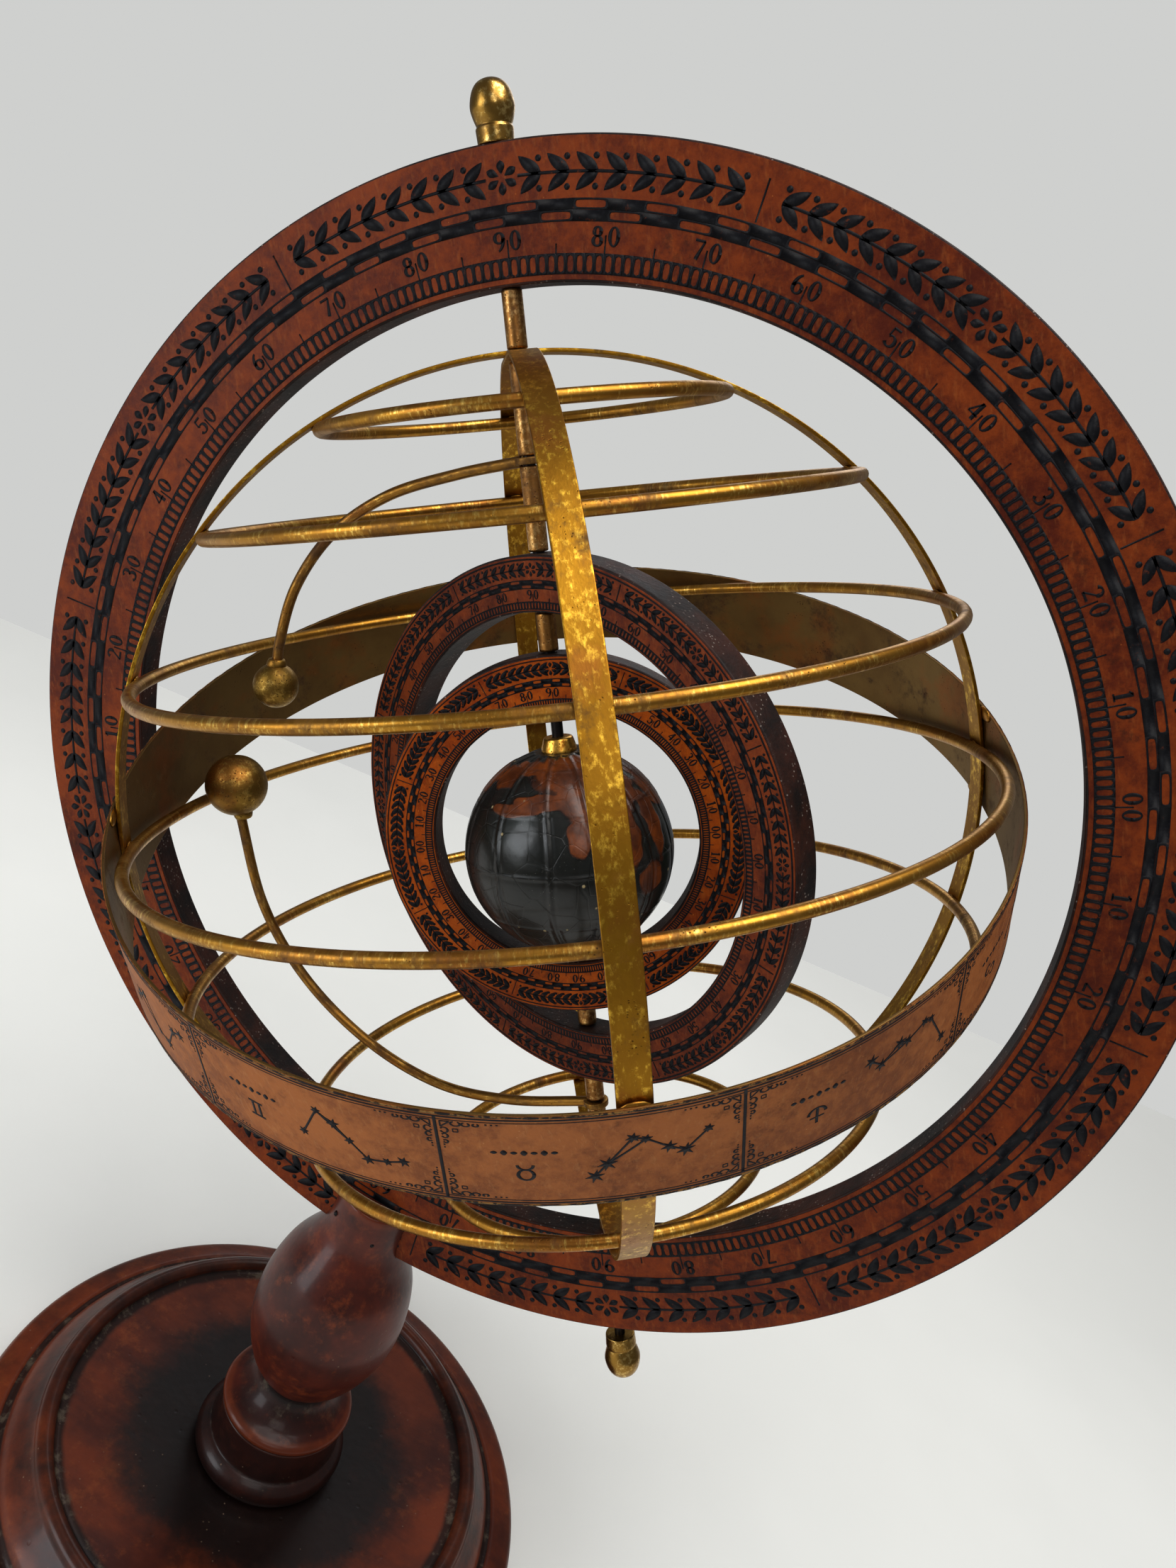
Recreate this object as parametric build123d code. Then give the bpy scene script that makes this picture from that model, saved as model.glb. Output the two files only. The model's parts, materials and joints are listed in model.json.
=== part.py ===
from build123d import *
import os
from math import cos, radians, sin

# Armillary sphere on a turned wooden stand. Millimetres, +Z up.
# Origin: centre of the stand's underside, on the stem's axis.
# Heights of the stand are from the underside. Everything inside the sphere is laid out
# in the axle's own frame: origin at the great ring's centre, z along the axle to the
# north, x to the low-latitude side in the great ring's plane, y away from the viewer.

# Driving dimensions
RING_R = 145.0                  # outer radius of the great ring
RING_BORE_R = 116.4             # its inner radius
RING_T = 7.3                    # its thickness over both printed faces
PAPER_T = 0.2                   # printed face glued to a wooden ring
PAPER_MARGIN = 0.8              # bare wood left at each edge of a printed face
CENTRE_Z = 258.0                # height of the sphere's centre
AXLE_TILT = 30.3                # lean of the axle from the vertical, north end to -X

ROD_R = 1.4                     # steel axle
RUN_CLEARANCE = 0.05            # radial play of everything that turns on the axle
TUBE_R = 2.3                    # brass distance tubes
END_PLAY = 0.3                  # gap between a tube and a piece that turns

CAGE_R = 103.5                  # outer radius of the two brass hoops through the poles
HOOP_T = 0.9
HOOP_W = 6.4
CAGE_TURN = -66.5               # azimuth of the front hoop at rest
WIRE_R = 1.5                    # radius of the round wire of the parallels
SOLDER_GAP = 0.02
PARALLELS = {                   # latitude of each soldered wire circle
    "parallel_north_high": 63.5,
    "parallel_north_mid": 44.0,
    "parallel_north_low": 23.0,
    "parallel_equator": 1.0,
    "parallel_south_low": -21.5,
    "parallel_south_mid": -45.5,
    "parallel_south_high": -66.0,
}
BAND_TILT = 21.5                # lean of the zodiac band from the equator
BAND_W = 24.0
BAND_T = 0.6
BAND_GAP = 0.1                  # band to hoop, bridged by solder

MEDIUM_R, MEDIUM_BORE_R, MEDIUM_Z, MEDIUM_TURN = 65.3, 52.2, -5.8, -21.5
SMALL_R, SMALL_BORE_R, SMALL_Z, SMALL_TURN = 44.5, 31.8, -8.0, 11.0
INNER_T = 8.7                   # thickness of the medium and small rings

GLOBE_R = 25.5
GLOBE_Z = -11.6
GLOBE_FLAT = 24.8               # the poles are cut flat this far from the globe's centre
CAP_H, CAP_FOOT_R, CAP_TOP_R = 3.2, 4.3, 3.5

ARM_R = 1.3                     # wire of the two planet arms
EYE_R, EYE_T = 3.2, 1.6         # flattened eye of an arm around the axle
MOON_EYE_Z, SUN_EYE_Z = 80.0, -79.7
MOON_R, SUN_R = 5.7, 8.0
MOON_AT = (74.0, 31.8)          # distance from the axle and height along it
SUN_AT = (90.5, 5.9)
MOON_ROUTE = [(2.6, 80.0), (18, 78.6), (36, 75.4), (52, 67.8), (64, 56), (71, 42.5), (73.4, 33.5)]
SUN_ROUTE = [(2.6, -79.7), (24, -80.8), (44, -77.4), (63, -66.2), (79, -48.5), (88.5, -27), (91, 0.5)]

FINIAL_LEN, FINIAL_COLLAR_H, FINIAL_COLLAR_R, FINIAL_R = 13.0, 3.6, 4.0, 4.8
FINIAL_SOCKET = 6.0             # how far the axle reaches into a finial
SOUTH_FINIAL_DROP = 3.6         # bare axle between the ring and the south finial

FELT_R, FELT_T = 80.0, 1.5
BASE_R = 87.0
PLATEAU_Z = 20.0                # top of the base where the stem stands
MORTISE_R, MORTISE_DEPTH = 9.0, 8.0
FOOT_TOP_Z = 41.0
FOOT_R, FOOT_TORUS_R, FOOT_TORUS_H = 19.8, 23.0, 9.0
SPIGOT_R, SPIGOT_DEPTH = 8.0, 10.0
NECK_TOP_Z = 127.5
SCREW_R, SCREW_HEAD_R, SCREW_HEAD_H = 2.0, 4.2, 2.6
WASHER_R, WASHER_T = 6.5, 1.0
SCREW_POCKET_R, SCREW_POCKET_Z = 7.5, 7.0
SCREW_TOP_Z = 70.0
PIN_R = 0.8
PIN_SPOTS = ((-8.0, 120.0), (5.0, 119.0))   # x and z of the two pins that hold the ring
PIN_HALF_LEN = 9.5

OUT = "parts"
os.makedirs(OUT, exist_ok=True)

AXLE = Pos(0, 0, CENTRE_Z) * Rot(0, -AXLE_TILT, 0)


def save(name, shape):
    """Writes one piece as its own STEP file."""
    shape.label = name
    export_step(shape, f"{OUT}/{name}.step")


def flat_ring(outer, inner, thick):
    """A flat ring that stands in the axle's xz plane, centred on the origin."""
    disc = Cylinder(outer, thick) - Cylinder(inner, thick)
    return Rot(90, 0, 0) * disc


def axle_hole(radius):
    """A cutter along the whole axle."""
    return Cylinder(radius, 4 * RING_R)


def tube(low, high, outer=TUBE_R, inner=ROD_R):
    """A tube on the axle between two heights."""
    wall = Cylinder(outer, high - low) - Cylinder(inner, high - low)
    return Pos(0, 0, (low + high) / 2) * wall


def turned(wires):
    """A solid turned about the vertical axis from an outline in the XZ plane."""
    face = make_face(Curve() + wires)
    return revolve(face, Axis.Z)


def paper_faces(outer, inner, thick):
    """The two printed faces of a wooden ring, front first."""
    skin = flat_ring(outer - PAPER_MARGIN, inner + PAPER_MARGIN, PAPER_T)
    offset = (thick - PAPER_T) / 2
    return Pos(0, -offset, 0) * skin, Pos(0, offset, 0) * skin


def base():
    """The stand's foot: a rim, a groove, an ogee with a bead, and a slightly dished top."""
    bottom = FELT_T
    outline = [
        Line((0, 0, bottom), (BASE_R - 2.5, 0, bottom)),
        ThreePointArc((BASE_R - 2.5, 0, bottom), (BASE_R - 0.7, 0, bottom + 0.7), (BASE_R, 0, bottom + 2.5)),
        Line((BASE_R, 0, bottom + 2.5), (BASE_R, 0, 7.5)),
        ThreePointArc((BASE_R, 0, 7.5), (BASE_R - 1.2, 0, 10.2), (BASE_R - 4.2, 0, 11.4)),
        Line((BASE_R - 4.2, 0, 11.4), (BASE_R - 8.6, 0, 12.4)),
        ThreePointArc((BASE_R - 8.6, 0, 12.4), (BASE_R - 9.7, 0, 11.7), (BASE_R - 10.8, 0, 12.6)),
        Spline([(BASE_R - 10.8, 0, 12.6), (BASE_R - 13, 0, 16.2), (BASE_R - 17, 0, 20.2), (BASE_R - 19, 0, 23)],
               tangents=[(0, 0, 1), (0, 0, 1)]),
        ThreePointArc((BASE_R - 19, 0, 23), (BASE_R - 21.3, 0, 25.5), (BASE_R - 23.8, 0, 23.4)),
        Line((BASE_R - 23.8, 0, 23.4), (BASE_R - 24.6, 0, 22.4)),
        ThreePointArc((BASE_R - 24.6, 0, 22.4), (44, 0, 20.9), (24, 0, PLATEAU_Z)),
        Line((24, 0, PLATEAU_Z), (0, 0, PLATEAU_Z)),
        Line((0, 0, PLATEAU_Z), (0, 0, bottom)),
    ]
    body = turned(outline)
    mortise = Pos(0, 0, PLATEAU_Z - MORTISE_DEPTH / 2) * Cylinder(MORTISE_R, MORTISE_DEPTH)
    pocket_h = SCREW_POCKET_Z - bottom
    pocket = Pos(0, 0, bottom + pocket_h / 2) * Cylinder(SCREW_POCKET_R, pocket_h)
    return body - mortise - pocket - Pos(0, 0, PLATEAU_Z / 2) * Cylinder(SCREW_R, PLATEAU_Z)


def stem_foot():
    """The dark lower turning: tenon, torus and drum, with a socket for the baluster."""
    torus_top = PLATEAU_Z + FOOT_TORUS_H
    torus_mid = PLATEAU_Z + FOOT_TORUS_H / 2
    tenon_z = PLATEAU_Z - MORTISE_DEPTH
    socket_z = FOOT_TOP_Z - SPIGOT_DEPTH
    outline = [
        Line((SCREW_R, 0, tenon_z), (MORTISE_R, 0, tenon_z)),
        Line((MORTISE_R, 0, tenon_z), (MORTISE_R, 0, PLATEAU_Z)),
        Line((MORTISE_R, 0, PLATEAU_Z), (FOOT_R, 0, PLATEAU_Z)),
        Line((FOOT_R, 0, PLATEAU_Z), (FOOT_R + 0.8, 0, PLATEAU_Z + 0.4)),
        ThreePointArc((FOOT_R + 0.8, 0, PLATEAU_Z + 0.4), (FOOT_TORUS_R, 0, torus_mid),
                      (FOOT_R + 0.6, 0, torus_top)),
        Line((FOOT_R + 0.6, 0, torus_top), (FOOT_R, 0, torus_top + 0.6)),
        Spline([(FOOT_R, 0, torus_top + 0.6), (FOOT_R - 0.5, 0, 35), (FOOT_R - 0.2, 0, FOOT_TOP_Z)]),
        Line((FOOT_R - 0.2, 0, FOOT_TOP_Z), (SPIGOT_R, 0, FOOT_TOP_Z)),
        Line((SPIGOT_R, 0, FOOT_TOP_Z), (SPIGOT_R, 0, socket_z)),
        Line((SPIGOT_R, 0, socket_z), (SCREW_R, 0, socket_z)),
        Line((SCREW_R, 0, socket_z), (SCREW_R, 0, tenon_z)),
    ]
    return turned(outline)


def stem_baluster():
    """The upper turning: flange, cove, pear-shaped baluster and a neck slotted for the great ring."""
    low = FOOT_TOP_Z - SPIGOT_DEPTH
    outline = [
        Line((0, 0, low), (SPIGOT_R, 0, low)),
        Line((SPIGOT_R, 0, low), (SPIGOT_R, 0, FOOT_TOP_Z)),
        Line((SPIGOT_R, 0, FOOT_TOP_Z), (19.0, 0, FOOT_TOP_Z)),
        ThreePointArc((19.0, 0, FOOT_TOP_Z), (19.8, 0, 42.4), (19.2, 0, 44.0)),
        Spline([(19.2, 0, 44.0), (14.6, 0, 46.6), (11.4, 0, 50.6), (10.8, 0, 54.0)],
               tangents=[(-1, 0, 0.15), (0, 0, 1)]),
        Line((10.8, 0, 54.0), (11.6, 0, 54.8)),
        Spline([(11.6, 0, 54.8), (17.0, 0, 62.5), (21.0, 0, 74.0), (21.8, 0, 86.0), (19.4, 0, 98.5),
                (14.4, 0, 108.5), (11.6, 0, 116.0), (11.0, 0, NECK_TOP_Z - 1)],
               tangents=[(1, 0, 0.9), (0, 0, 1)]),
        ThreePointArc((11.0, 0, NECK_TOP_Z - 1), (10.7, 0, NECK_TOP_Z - 0.3), (10.0, 0, NECK_TOP_Z)),
        Line((10.0, 0, NECK_TOP_Z), (0, 0, NECK_TOP_Z)),
        Line((0, 0, NECK_TOP_Z), (0, 0, low)),
    ]
    slot = Pos(0, 0, CENTRE_Z) * Rot(90, 0, 0) * Cylinder(RING_R, RING_T)
    screw_len = SCREW_TOP_Z - low
    screw_hole = Pos(0, 0, low + screw_len / 2) * Cylinder(SCREW_R, screw_len)
    return turned(outline) - slot - screw_hole - ring_pins()


def ring_pins():
    """Two pins driven through the neck's cheeks and the great ring."""
    pins = [Pos(x, 0, z) * Rot(90, 0, 0) * Cylinder(PIN_R, 2 * PIN_HALF_LEN) for x, z in PIN_SPOTS]
    return Compound(children=pins)


def base_screw():
    """The wood screw that draws the stem down on the base."""
    seat = SCREW_POCKET_Z - WASHER_T
    head = Pos(0, 0, seat - SCREW_HEAD_H / 2) * Cylinder(SCREW_HEAD_R, SCREW_HEAD_H)
    driver_slot = Pos(0, 0, seat - SCREW_HEAD_H) * Box(2 * SCREW_HEAD_R, 1.0, 2.0)
    shank = Pos(0, 0, (seat + SCREW_TOP_Z) / 2) * Cylinder(SCREW_R, SCREW_TOP_Z - seat)
    return head - driver_slot + shank


def front_hoop():
    """The hoop that faces the viewer, pressed flat at the poles to pass under the side hoop."""
    inner = CAGE_R - HOOP_T
    under = inner - 0.1
    reach = (inner ** 2 - (under - HOOP_T) ** 2) ** 0.5
    hoop = flat_ring(CAGE_R, inner, HOOP_W)
    for side in (1, -1):
        hoop -= Pos(0, 0, side * (under + HOOP_T)) * Box(4 * reach, 2 * HOOP_W, 2 * HOOP_T)
        hoop += Pos(0, 0, side * (under - HOOP_T / 2)) * Box(2 * reach, HOOP_W, HOOP_T)
    return Rot(0, 0, CAGE_TURN) * hoop


def parallel(latitude):
    """One circle of round wire, soldered inside the hoops."""
    line_r = CAGE_R - HOOP_T - WIRE_R - SOLDER_GAP
    at = radians(latitude)
    return Pos(0, 0, line_r * sin(at)) * Torus(line_r * cos(at), WIRE_R)


def band_shell(inner, thick, width):
    """A short tube in the zodiac band's place: lowest at the front hoop."""
    shell = Cylinder(inner + thick, width) - Cylinder(inner, width)
    return Rot(0, 0, CAGE_TURN) * Rot(0, BAND_TILT, 0) * shell


def arm(route, eye_z):
    """A planet's arm: a flattened eye around the axle and a bent wire, on the axle's low side."""
    points = [(-r, 0, z) for r, z in route]
    path = Spline(points, tangents=[(-1, 0, 0), Vector(*points[-1]) - Vector(*points[-2])])
    wire = sweep(path.location_at(0) * Circle(ARM_R), path=path)
    eye = Pos(0, 0, eye_z) * Cylinder(EYE_R, EYE_T)
    return (wire + eye) - axle_hole(ROD_R + RUN_CLEARANCE)


def planet(at, radius, held_by):
    """A ball drilled for the end of its arm."""
    return Pos(-at[0], 0, at[1]) * Sphere(radius) - held_by


def globe():
    """The earth: a ball with flat poles, bored for the axle."""
    ball = Sphere(GLOBE_R) & Cylinder(GLOBE_R + 1, 2 * GLOBE_FLAT)
    return Pos(0, 0, GLOBE_Z) * ball - axle_hole(ROD_R + RUN_CLEARANCE)


def globe_cap(side):
    """A tapered brass collar on one pole of the globe; side is 1 for north, -1 for south."""
    cap = Pos(0, 0, GLOBE_FLAT + CAP_H / 2) * Cone(CAP_FOOT_R, CAP_TOP_R, CAP_H)
    if side < 0:
        cap = Rot(180, 0, 0) * cap
    return Pos(0, 0, GLOBE_Z) * cap - axle_hole(ROD_R + RUN_CLEARANCE)


def finial():
    """An acorn nut that points up, with its collar on z = 0 and a socket for the axle."""
    waist = FINIAL_COLLAR_R - 0.25
    widest = FINIAL_COLLAR_H + 3.9
    outline = [
        Line((0, 0, 0), (FINIAL_COLLAR_R, 0, 0)),
        Line((FINIAL_COLLAR_R, 0, 0), (FINIAL_COLLAR_R + 0.1, 0, FINIAL_COLLAR_H - 0.3)),
        Line((FINIAL_COLLAR_R + 0.1, 0, FINIAL_COLLAR_H - 0.3), (waist, 0, FINIAL_COLLAR_H)),
        Spline([(waist, 0, FINIAL_COLLAR_H), (FINIAL_R, 0, widest), (3.2, 0, FINIAL_LEN - 1.1),
                (0, 0, FINIAL_LEN)], tangents=[(0.35, 0, 1), (-1, 0, 0)]),
        Line((0, 0, FINIAL_LEN), (0, 0, 0)),
    ]
    socket = Pos(0, 0, FINIAL_SOCKET / 2) * Cylinder(ROD_R, FINIAL_SOCKET)
    return turned(outline) - socket


def build_stand():
    """The wooden stand with its felt and fastenings."""
    felt = Pos(0, 0, FELT_T / 2) * Cylinder(FELT_R, FELT_T)
    washer_z = SCREW_POCKET_Z - WASHER_T / 2
    washer = Pos(0, 0, washer_z) * (Cylinder(WASHER_R, WASHER_T) - Cylinder(SCREW_R, WASHER_T))
    save("felt_pad", felt)
    save("base_foot", base())
    save("base_screw", base_screw())
    save("base_washer", washer)
    save("stem_foot", stem_foot())
    save("stem_baluster", stem_baluster())
    save("ring_pins", ring_pins())


def build_great_ring():
    """The fixed wooden ring, its printed faces, the axle and the finials."""
    wood = AXLE * (flat_ring(RING_R, RING_BORE_R, RING_T - 2 * PAPER_T) - axle_hole(ROD_R))
    wood -= ring_pins()
    front, back = paper_faces(RING_R, RING_BORE_R, RING_T)
    south_end = -RING_R - SOUTH_FINIAL_DROP
    rod_low, rod_high = south_end - FINIAL_SOCKET, RING_R + FINIAL_SOCKET
    rod = Pos(0, 0, (rod_low + rod_high) / 2) * Cylinder(ROD_R, rod_high - rod_low)
    save("great_ring", wood)
    save("great_scale_front", AXLE * front - ring_pins())
    save("great_scale_back", AXLE * back - ring_pins())
    save("axle_rod", AXLE * rod)
    save("north_finial", AXLE * Pos(0, 0, RING_R) * finial())
    save("south_finial", AXLE * Pos(0, 0, south_end) * Rot(180, 0, 0) * finial())


def build_tubes():
    """The brass distance tubes that keep everything in place along the axle."""
    cage_in = CAGE_R - 2 * HOOP_T - 0.1 - END_PLAY
    spans = {
        "tube_north_outer": (CAGE_R + END_PLAY, RING_BORE_R - 0.1),
        "tube_north_upper": (MOON_EYE_Z + EYE_T / 2 + END_PLAY, cage_in),
        "tube_north_lower": (MEDIUM_Z + MEDIUM_R + END_PLAY, MOON_EYE_Z - EYE_T / 2 - END_PLAY),
        "tube_north_inner": (SMALL_Z + SMALL_R + END_PLAY, MEDIUM_Z + MEDIUM_BORE_R - 0.1 - END_PLAY),
        "tube_south_inner": (MEDIUM_Z - MEDIUM_BORE_R + 0.1 + END_PLAY, SMALL_Z - SMALL_R - END_PLAY),
        "tube_south_upper": (SUN_EYE_Z + EYE_T / 2 + END_PLAY, MEDIUM_Z - MEDIUM_R - END_PLAY),
        "tube_south_lower": (-cage_in, SUN_EYE_Z - EYE_T / 2 - END_PLAY),
        "tube_south_outer": (-RING_BORE_R + 0.1, -CAGE_R - END_PLAY),
    }
    for name, (low, high) in spans.items():
        save(name, AXLE * tube(low, high))


def build_cage():
    """Two hoops, the wire parallels and the zodiac band, all soldered into one sphere."""
    hole = axle_hole(ROD_R + RUN_CLEARANCE)
    side = Rot(0, 0, CAGE_TURN + 90) * flat_ring(CAGE_R, CAGE_R - HOOP_T, HOOP_W)
    save("hoop_side", AXLE * (side - hole))
    save("hoop_front", AXLE * (front_hoop() - hole))
    for name, latitude in PARALLELS.items():
        save(name, AXLE * parallel(latitude))
    inner = CAGE_R + BAND_GAP
    save("zodiac_band", AXLE * band_shell(inner, BAND_T, BAND_W))
    save("zodiac_paper", AXLE * band_shell(inner + BAND_T, PAPER_T, BAND_W - PAPER_MARGIN))


def build_inner_ring(name, outer, inner, height, turn):
    """A wooden ring with two printed faces that turns on the axle."""
    hole = axle_hole(ROD_R + RUN_CLEARANCE)
    place = AXLE * Pos(0, 0, height) * Rot(0, 0, turn)
    front, back = paper_faces(outer, inner, INNER_T)
    save(f"{name}_ring", place * (flat_ring(outer, inner, INNER_T - 2 * PAPER_T) - hole))
    save(f"{name}_scale_front", place * front)
    save(f"{name}_scale_back", place * back)


def build_planets():
    """The moon and the sun on their arms, and the globe."""
    moon_arm = arm(MOON_ROUTE, MOON_EYE_Z)
    sun_arm = arm(SUN_ROUTE, SUN_EYE_Z)
    save("moon_arm", AXLE * moon_arm)
    save("moon_ball", AXLE * planet(MOON_AT, MOON_R, moon_arm))
    save("sun_arm", AXLE * sun_arm)
    save("sun_ball", AXLE * planet(SUN_AT, SUN_R, sun_arm))
    save("earth_globe", AXLE * globe())
    save("globe_cap_north", AXLE * globe_cap(1))
    save("globe_cap_south", AXLE * globe_cap(-1))


build_stand()
build_great_ring()
build_tubes()
build_cage()
build_inner_ring("medium", MEDIUM_R, MEDIUM_BORE_R, MEDIUM_Z, MEDIUM_TURN)
build_inner_ring("small", SMALL_R, SMALL_BORE_R, SMALL_Z, SMALL_TURN)
build_planets()
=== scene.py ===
"""Looks of a wooden armillary sphere on a turned stand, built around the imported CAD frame.

Metres, +Z up. Lengths are written in millimetres and pass through MM where a mesh or a
material is made. The axle has a frame of its own: origin at the great ring's centre, z along
the axle to its north end, y away from the front, x to the high side of the great ring.
"""
import json

import bmesh
import bpy
import numpy as np
from numpy import arange, array, cos, linspace, pi, radians, sin, vstack
from numpy.linalg import norm
from mathutils import Euler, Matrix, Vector


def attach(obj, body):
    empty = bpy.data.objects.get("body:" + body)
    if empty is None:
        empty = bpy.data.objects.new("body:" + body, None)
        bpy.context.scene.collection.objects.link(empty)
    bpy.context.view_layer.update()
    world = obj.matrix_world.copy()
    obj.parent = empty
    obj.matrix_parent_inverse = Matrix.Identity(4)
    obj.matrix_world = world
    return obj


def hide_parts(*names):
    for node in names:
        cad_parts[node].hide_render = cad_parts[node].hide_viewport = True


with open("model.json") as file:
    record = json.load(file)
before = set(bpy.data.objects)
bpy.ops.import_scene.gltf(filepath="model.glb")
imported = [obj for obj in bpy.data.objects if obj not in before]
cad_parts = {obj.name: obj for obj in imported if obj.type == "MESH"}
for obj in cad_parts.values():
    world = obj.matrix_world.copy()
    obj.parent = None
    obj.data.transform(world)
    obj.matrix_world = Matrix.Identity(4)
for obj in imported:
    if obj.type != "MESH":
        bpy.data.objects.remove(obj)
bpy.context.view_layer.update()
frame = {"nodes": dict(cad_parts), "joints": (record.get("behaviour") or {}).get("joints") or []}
MM = .001
RNG = np.random.default_rng(41)

# ---- frames
UPRIGHT = np.eye(3)
STAND = (UPRIGHT, np.zeros(3))


def inside(outer, rows=UPRIGHT, at=(0.0, 0.0, 0.0)):
    """A frame set in another one; rows are its three directions as the outer frame sees them."""
    return array(rows, float) @ outer[0], outer[1] + array(at, float) @ outer[0]


def turned(angle):
    """Directions turned about z by an angle in degrees."""
    c, s = cos(radians(angle)), sin(radians(angle))
    return [[c, s, 0], [-s, c, 0], [0, 0, 1]]


def leaning(angle):
    """Directions turned about y by an angle in degrees."""
    c, s = cos(radians(angle)), sin(radians(angle))
    return [[c, 0, -s], [0, 1, 0], [s, 0, c]]


def placed(points, where):
    """Points in a frame, in millimetres, taken to the stand's frame."""
    return points @ where[0] + where[1]


HINGE = frame["joints"][0]
AXIS = array(HINGE["axis"], float) / norm(HINGE["axis"])
SIDEWAYS = array([0.0, 1.0, 0.0])
AXLE = (array([np.cross(SIDEWAYS, AXIS), SIDEWAYS, AXIS]), array(HINGE["pos_m"], float) / MM)
FRONT_FACE = [[1, 0, 0], [0, 0, 1], [0, -1, 0]]
BACK_FACE = [[-1, 0, 0], [0, 0, 1], [0, 1, 0]]
UPSIDE_DOWN = [[1, 0, 0], [0, -1, 0], [0, 0, -1]]

# ---- sizes, mm
RING_R, RING_BORE_R, RING_T = 145.0, 116.4, 7.3
MEDIUM_R, MEDIUM_BORE_R, MEDIUM_Z, MEDIUM_TURN = 65.3, 52.2, -5.8, -21.5
SMALL_R, SMALL_BORE_R, SMALL_Z, SMALL_TURN = 44.5, 31.8, -8.0, 11.0
INNER_T, INNER_WEIGHT = 8.7, 1.7
PAPER_T, PAPER_MARGIN = .2, .8
PRINT_TURN = .7
ROD_R, TUBE_R, END_PLAY, BORE_FIT = 1.4, 2.3, .3, .05
CAGE_R, HOOP_T, HOOP_W, CAGE_TURN = 103.5, .9, 6.4, -66.5
WIRE_R, SOLDER_GAP, SOLDER_SINK, HOOP_GAP = 1.5, .02, .35, .1
PARALLELS = {
    "parallel_north_high": 63.5, "parallel_north_mid": 44.0, "parallel_north_low": 23.0,
    "parallel_equator": 1.0, "parallel_south_low": -21.5, "parallel_south_mid": -45.5,
    "parallel_south_high": -66.0,
}
BAND_TILT, BAND_W, BAND_T, BAND_GAP, BAND_SOLDER_Z, RIM_INSET = 21.5, 24.0, .6, .1, 11.2, .26
GLOBE_R, GLOBE_Z, GLOBE_FLAT, POLE_R = 25.5, -11.6, 24.8, 6.0
CAP_H, CAP_FOOT_R, CAP_TOP_R = 3.2, 4.3, 3.5
ARM_R, EYE_R, EYE_T = 1.3, 3.2, 1.6
MOON_EYE_Z, SUN_EYE_Z = 80.0, -79.7
MOON_R, SUN_R, MOON_AT, SUN_AT = 5.7, 8.0, (74.0, 31.8), (90.5, 5.9)
MOON_ROUTE = [(1.8, 80.0), (18, 78.6), (36, 75.4), (52, 67.8), (64, 56), (71, 42.5), (73.4, 33.5)]
SUN_ROUTE = [(1.8, -79.7), (24, -80.8), (44, -77.4), (63, -66.2), (79, -48.5), (88.5, -27), (91, .5)]
FINIAL_LEN, SOUTH_FINIAL_DROP, FINIAL_SOCKET = 13.0, 3.6, 6.0
FELT_R, FELT_T, BASE_R, PLATEAU_Z = 80.0, 1.5, 87.0, 20.0
FOOT_R, FOOT_TORUS_R, FOOT_TORUS_H, FOOT_TOP_Z, NECK_TOP_Z = 19.8, 23.0, 9.0, 41.0, 127.5
PIN_SPOTS = ((-8.0, 120.0, 8.3), (5.0, 119.0, 10.15))
RING_SIDES, BAND_SIDES, WIRE_SIDES, SLOT_SIDES = 480, 420, 300, 900


# ---- lines and profiles
def coords(*parts):
    """Arrays of x, y and maybe z, stretched to one shape and laid side by side as points."""
    return np.stack(np.broadcast_arrays(*parts), -1)


def smooth_line(points, steps=14):
    """A Catmull-Rom curve: each span blends the two tangents of its ends by cubic weights."""
    p = array(points, float)
    if len(p) == 2:
        return p
    ends = vstack([2 * p[0] - p[1], p, 2 * p[-1] - p[-2]])
    t = linspace(0, 1, steps, endpoint=False)[None, :, None]
    a, b, c, d = (ends[k:len(p) - 1 + k, None, :] for k in range(4))
    span = .5 * (2 * b + (c - a) * t + (2 * a - 5 * b + 4 * c - d) * t ** 2
                  + (3 * b - a - 3 * c + d) * t ** 3)
    return vstack([span.reshape(-1, p.shape[1]), p[-1:]])


def evenly(line, step):
    """The same line with points a fixed length apart."""
    run = np.r_[0, np.cumsum(norm(np.diff(line[:, :2], axis=0), axis=1))]
    at = linspace(0, run[-1], max(int(run[-1] / step), 2) + 1)
    return coords(*(np.interp(at, run, column) for column in line.T))


def outline(*runs, step=.3, soften=3):
    """Smooth runs, each from the end of the one before; averaging each point with its neighbours rounds
    the corners."""
    starts = [[]] + [run[-1:] for run in runs]
    line = evenly(vstack([smooth_line(start + run) for start, run in zip(starts, runs)]), step)
    for _ in range(soften):
        line[1:-1] = (line[:-2] + 2 * line[1:-1] + line[2:]) / 4
    return line


def box_loop(low, high, corner, steps=4):
    """A rectangle from low to high with quarter-circle corners, as a closed loop."""
    low, high = array(low, float), array(high, float)
    turn = radians(linspace(0, 90, steps + 1)[None, :] + arange(4)[:, None] * 90)
    side = array([[1, 1], [0, 1], [0, 0], [1, 0]])
    centre = np.where(side == 1, high - corner, low + corner)[:, None, :]
    loop = (centre + corner * coords(cos(turn), sin(turn))).reshape(-1, 2)
    following = np.roll(loop, -1, axis=0)
    gap = norm(following - loop, axis=1)
    far = gap > 4 * corner
    move = (following - loop) * (corner / np.maximum(gap, 1e-9))[:, None]
    return np.stack([loop, loop + move, following - move], 1)[coords(True, far, far)]


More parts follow.
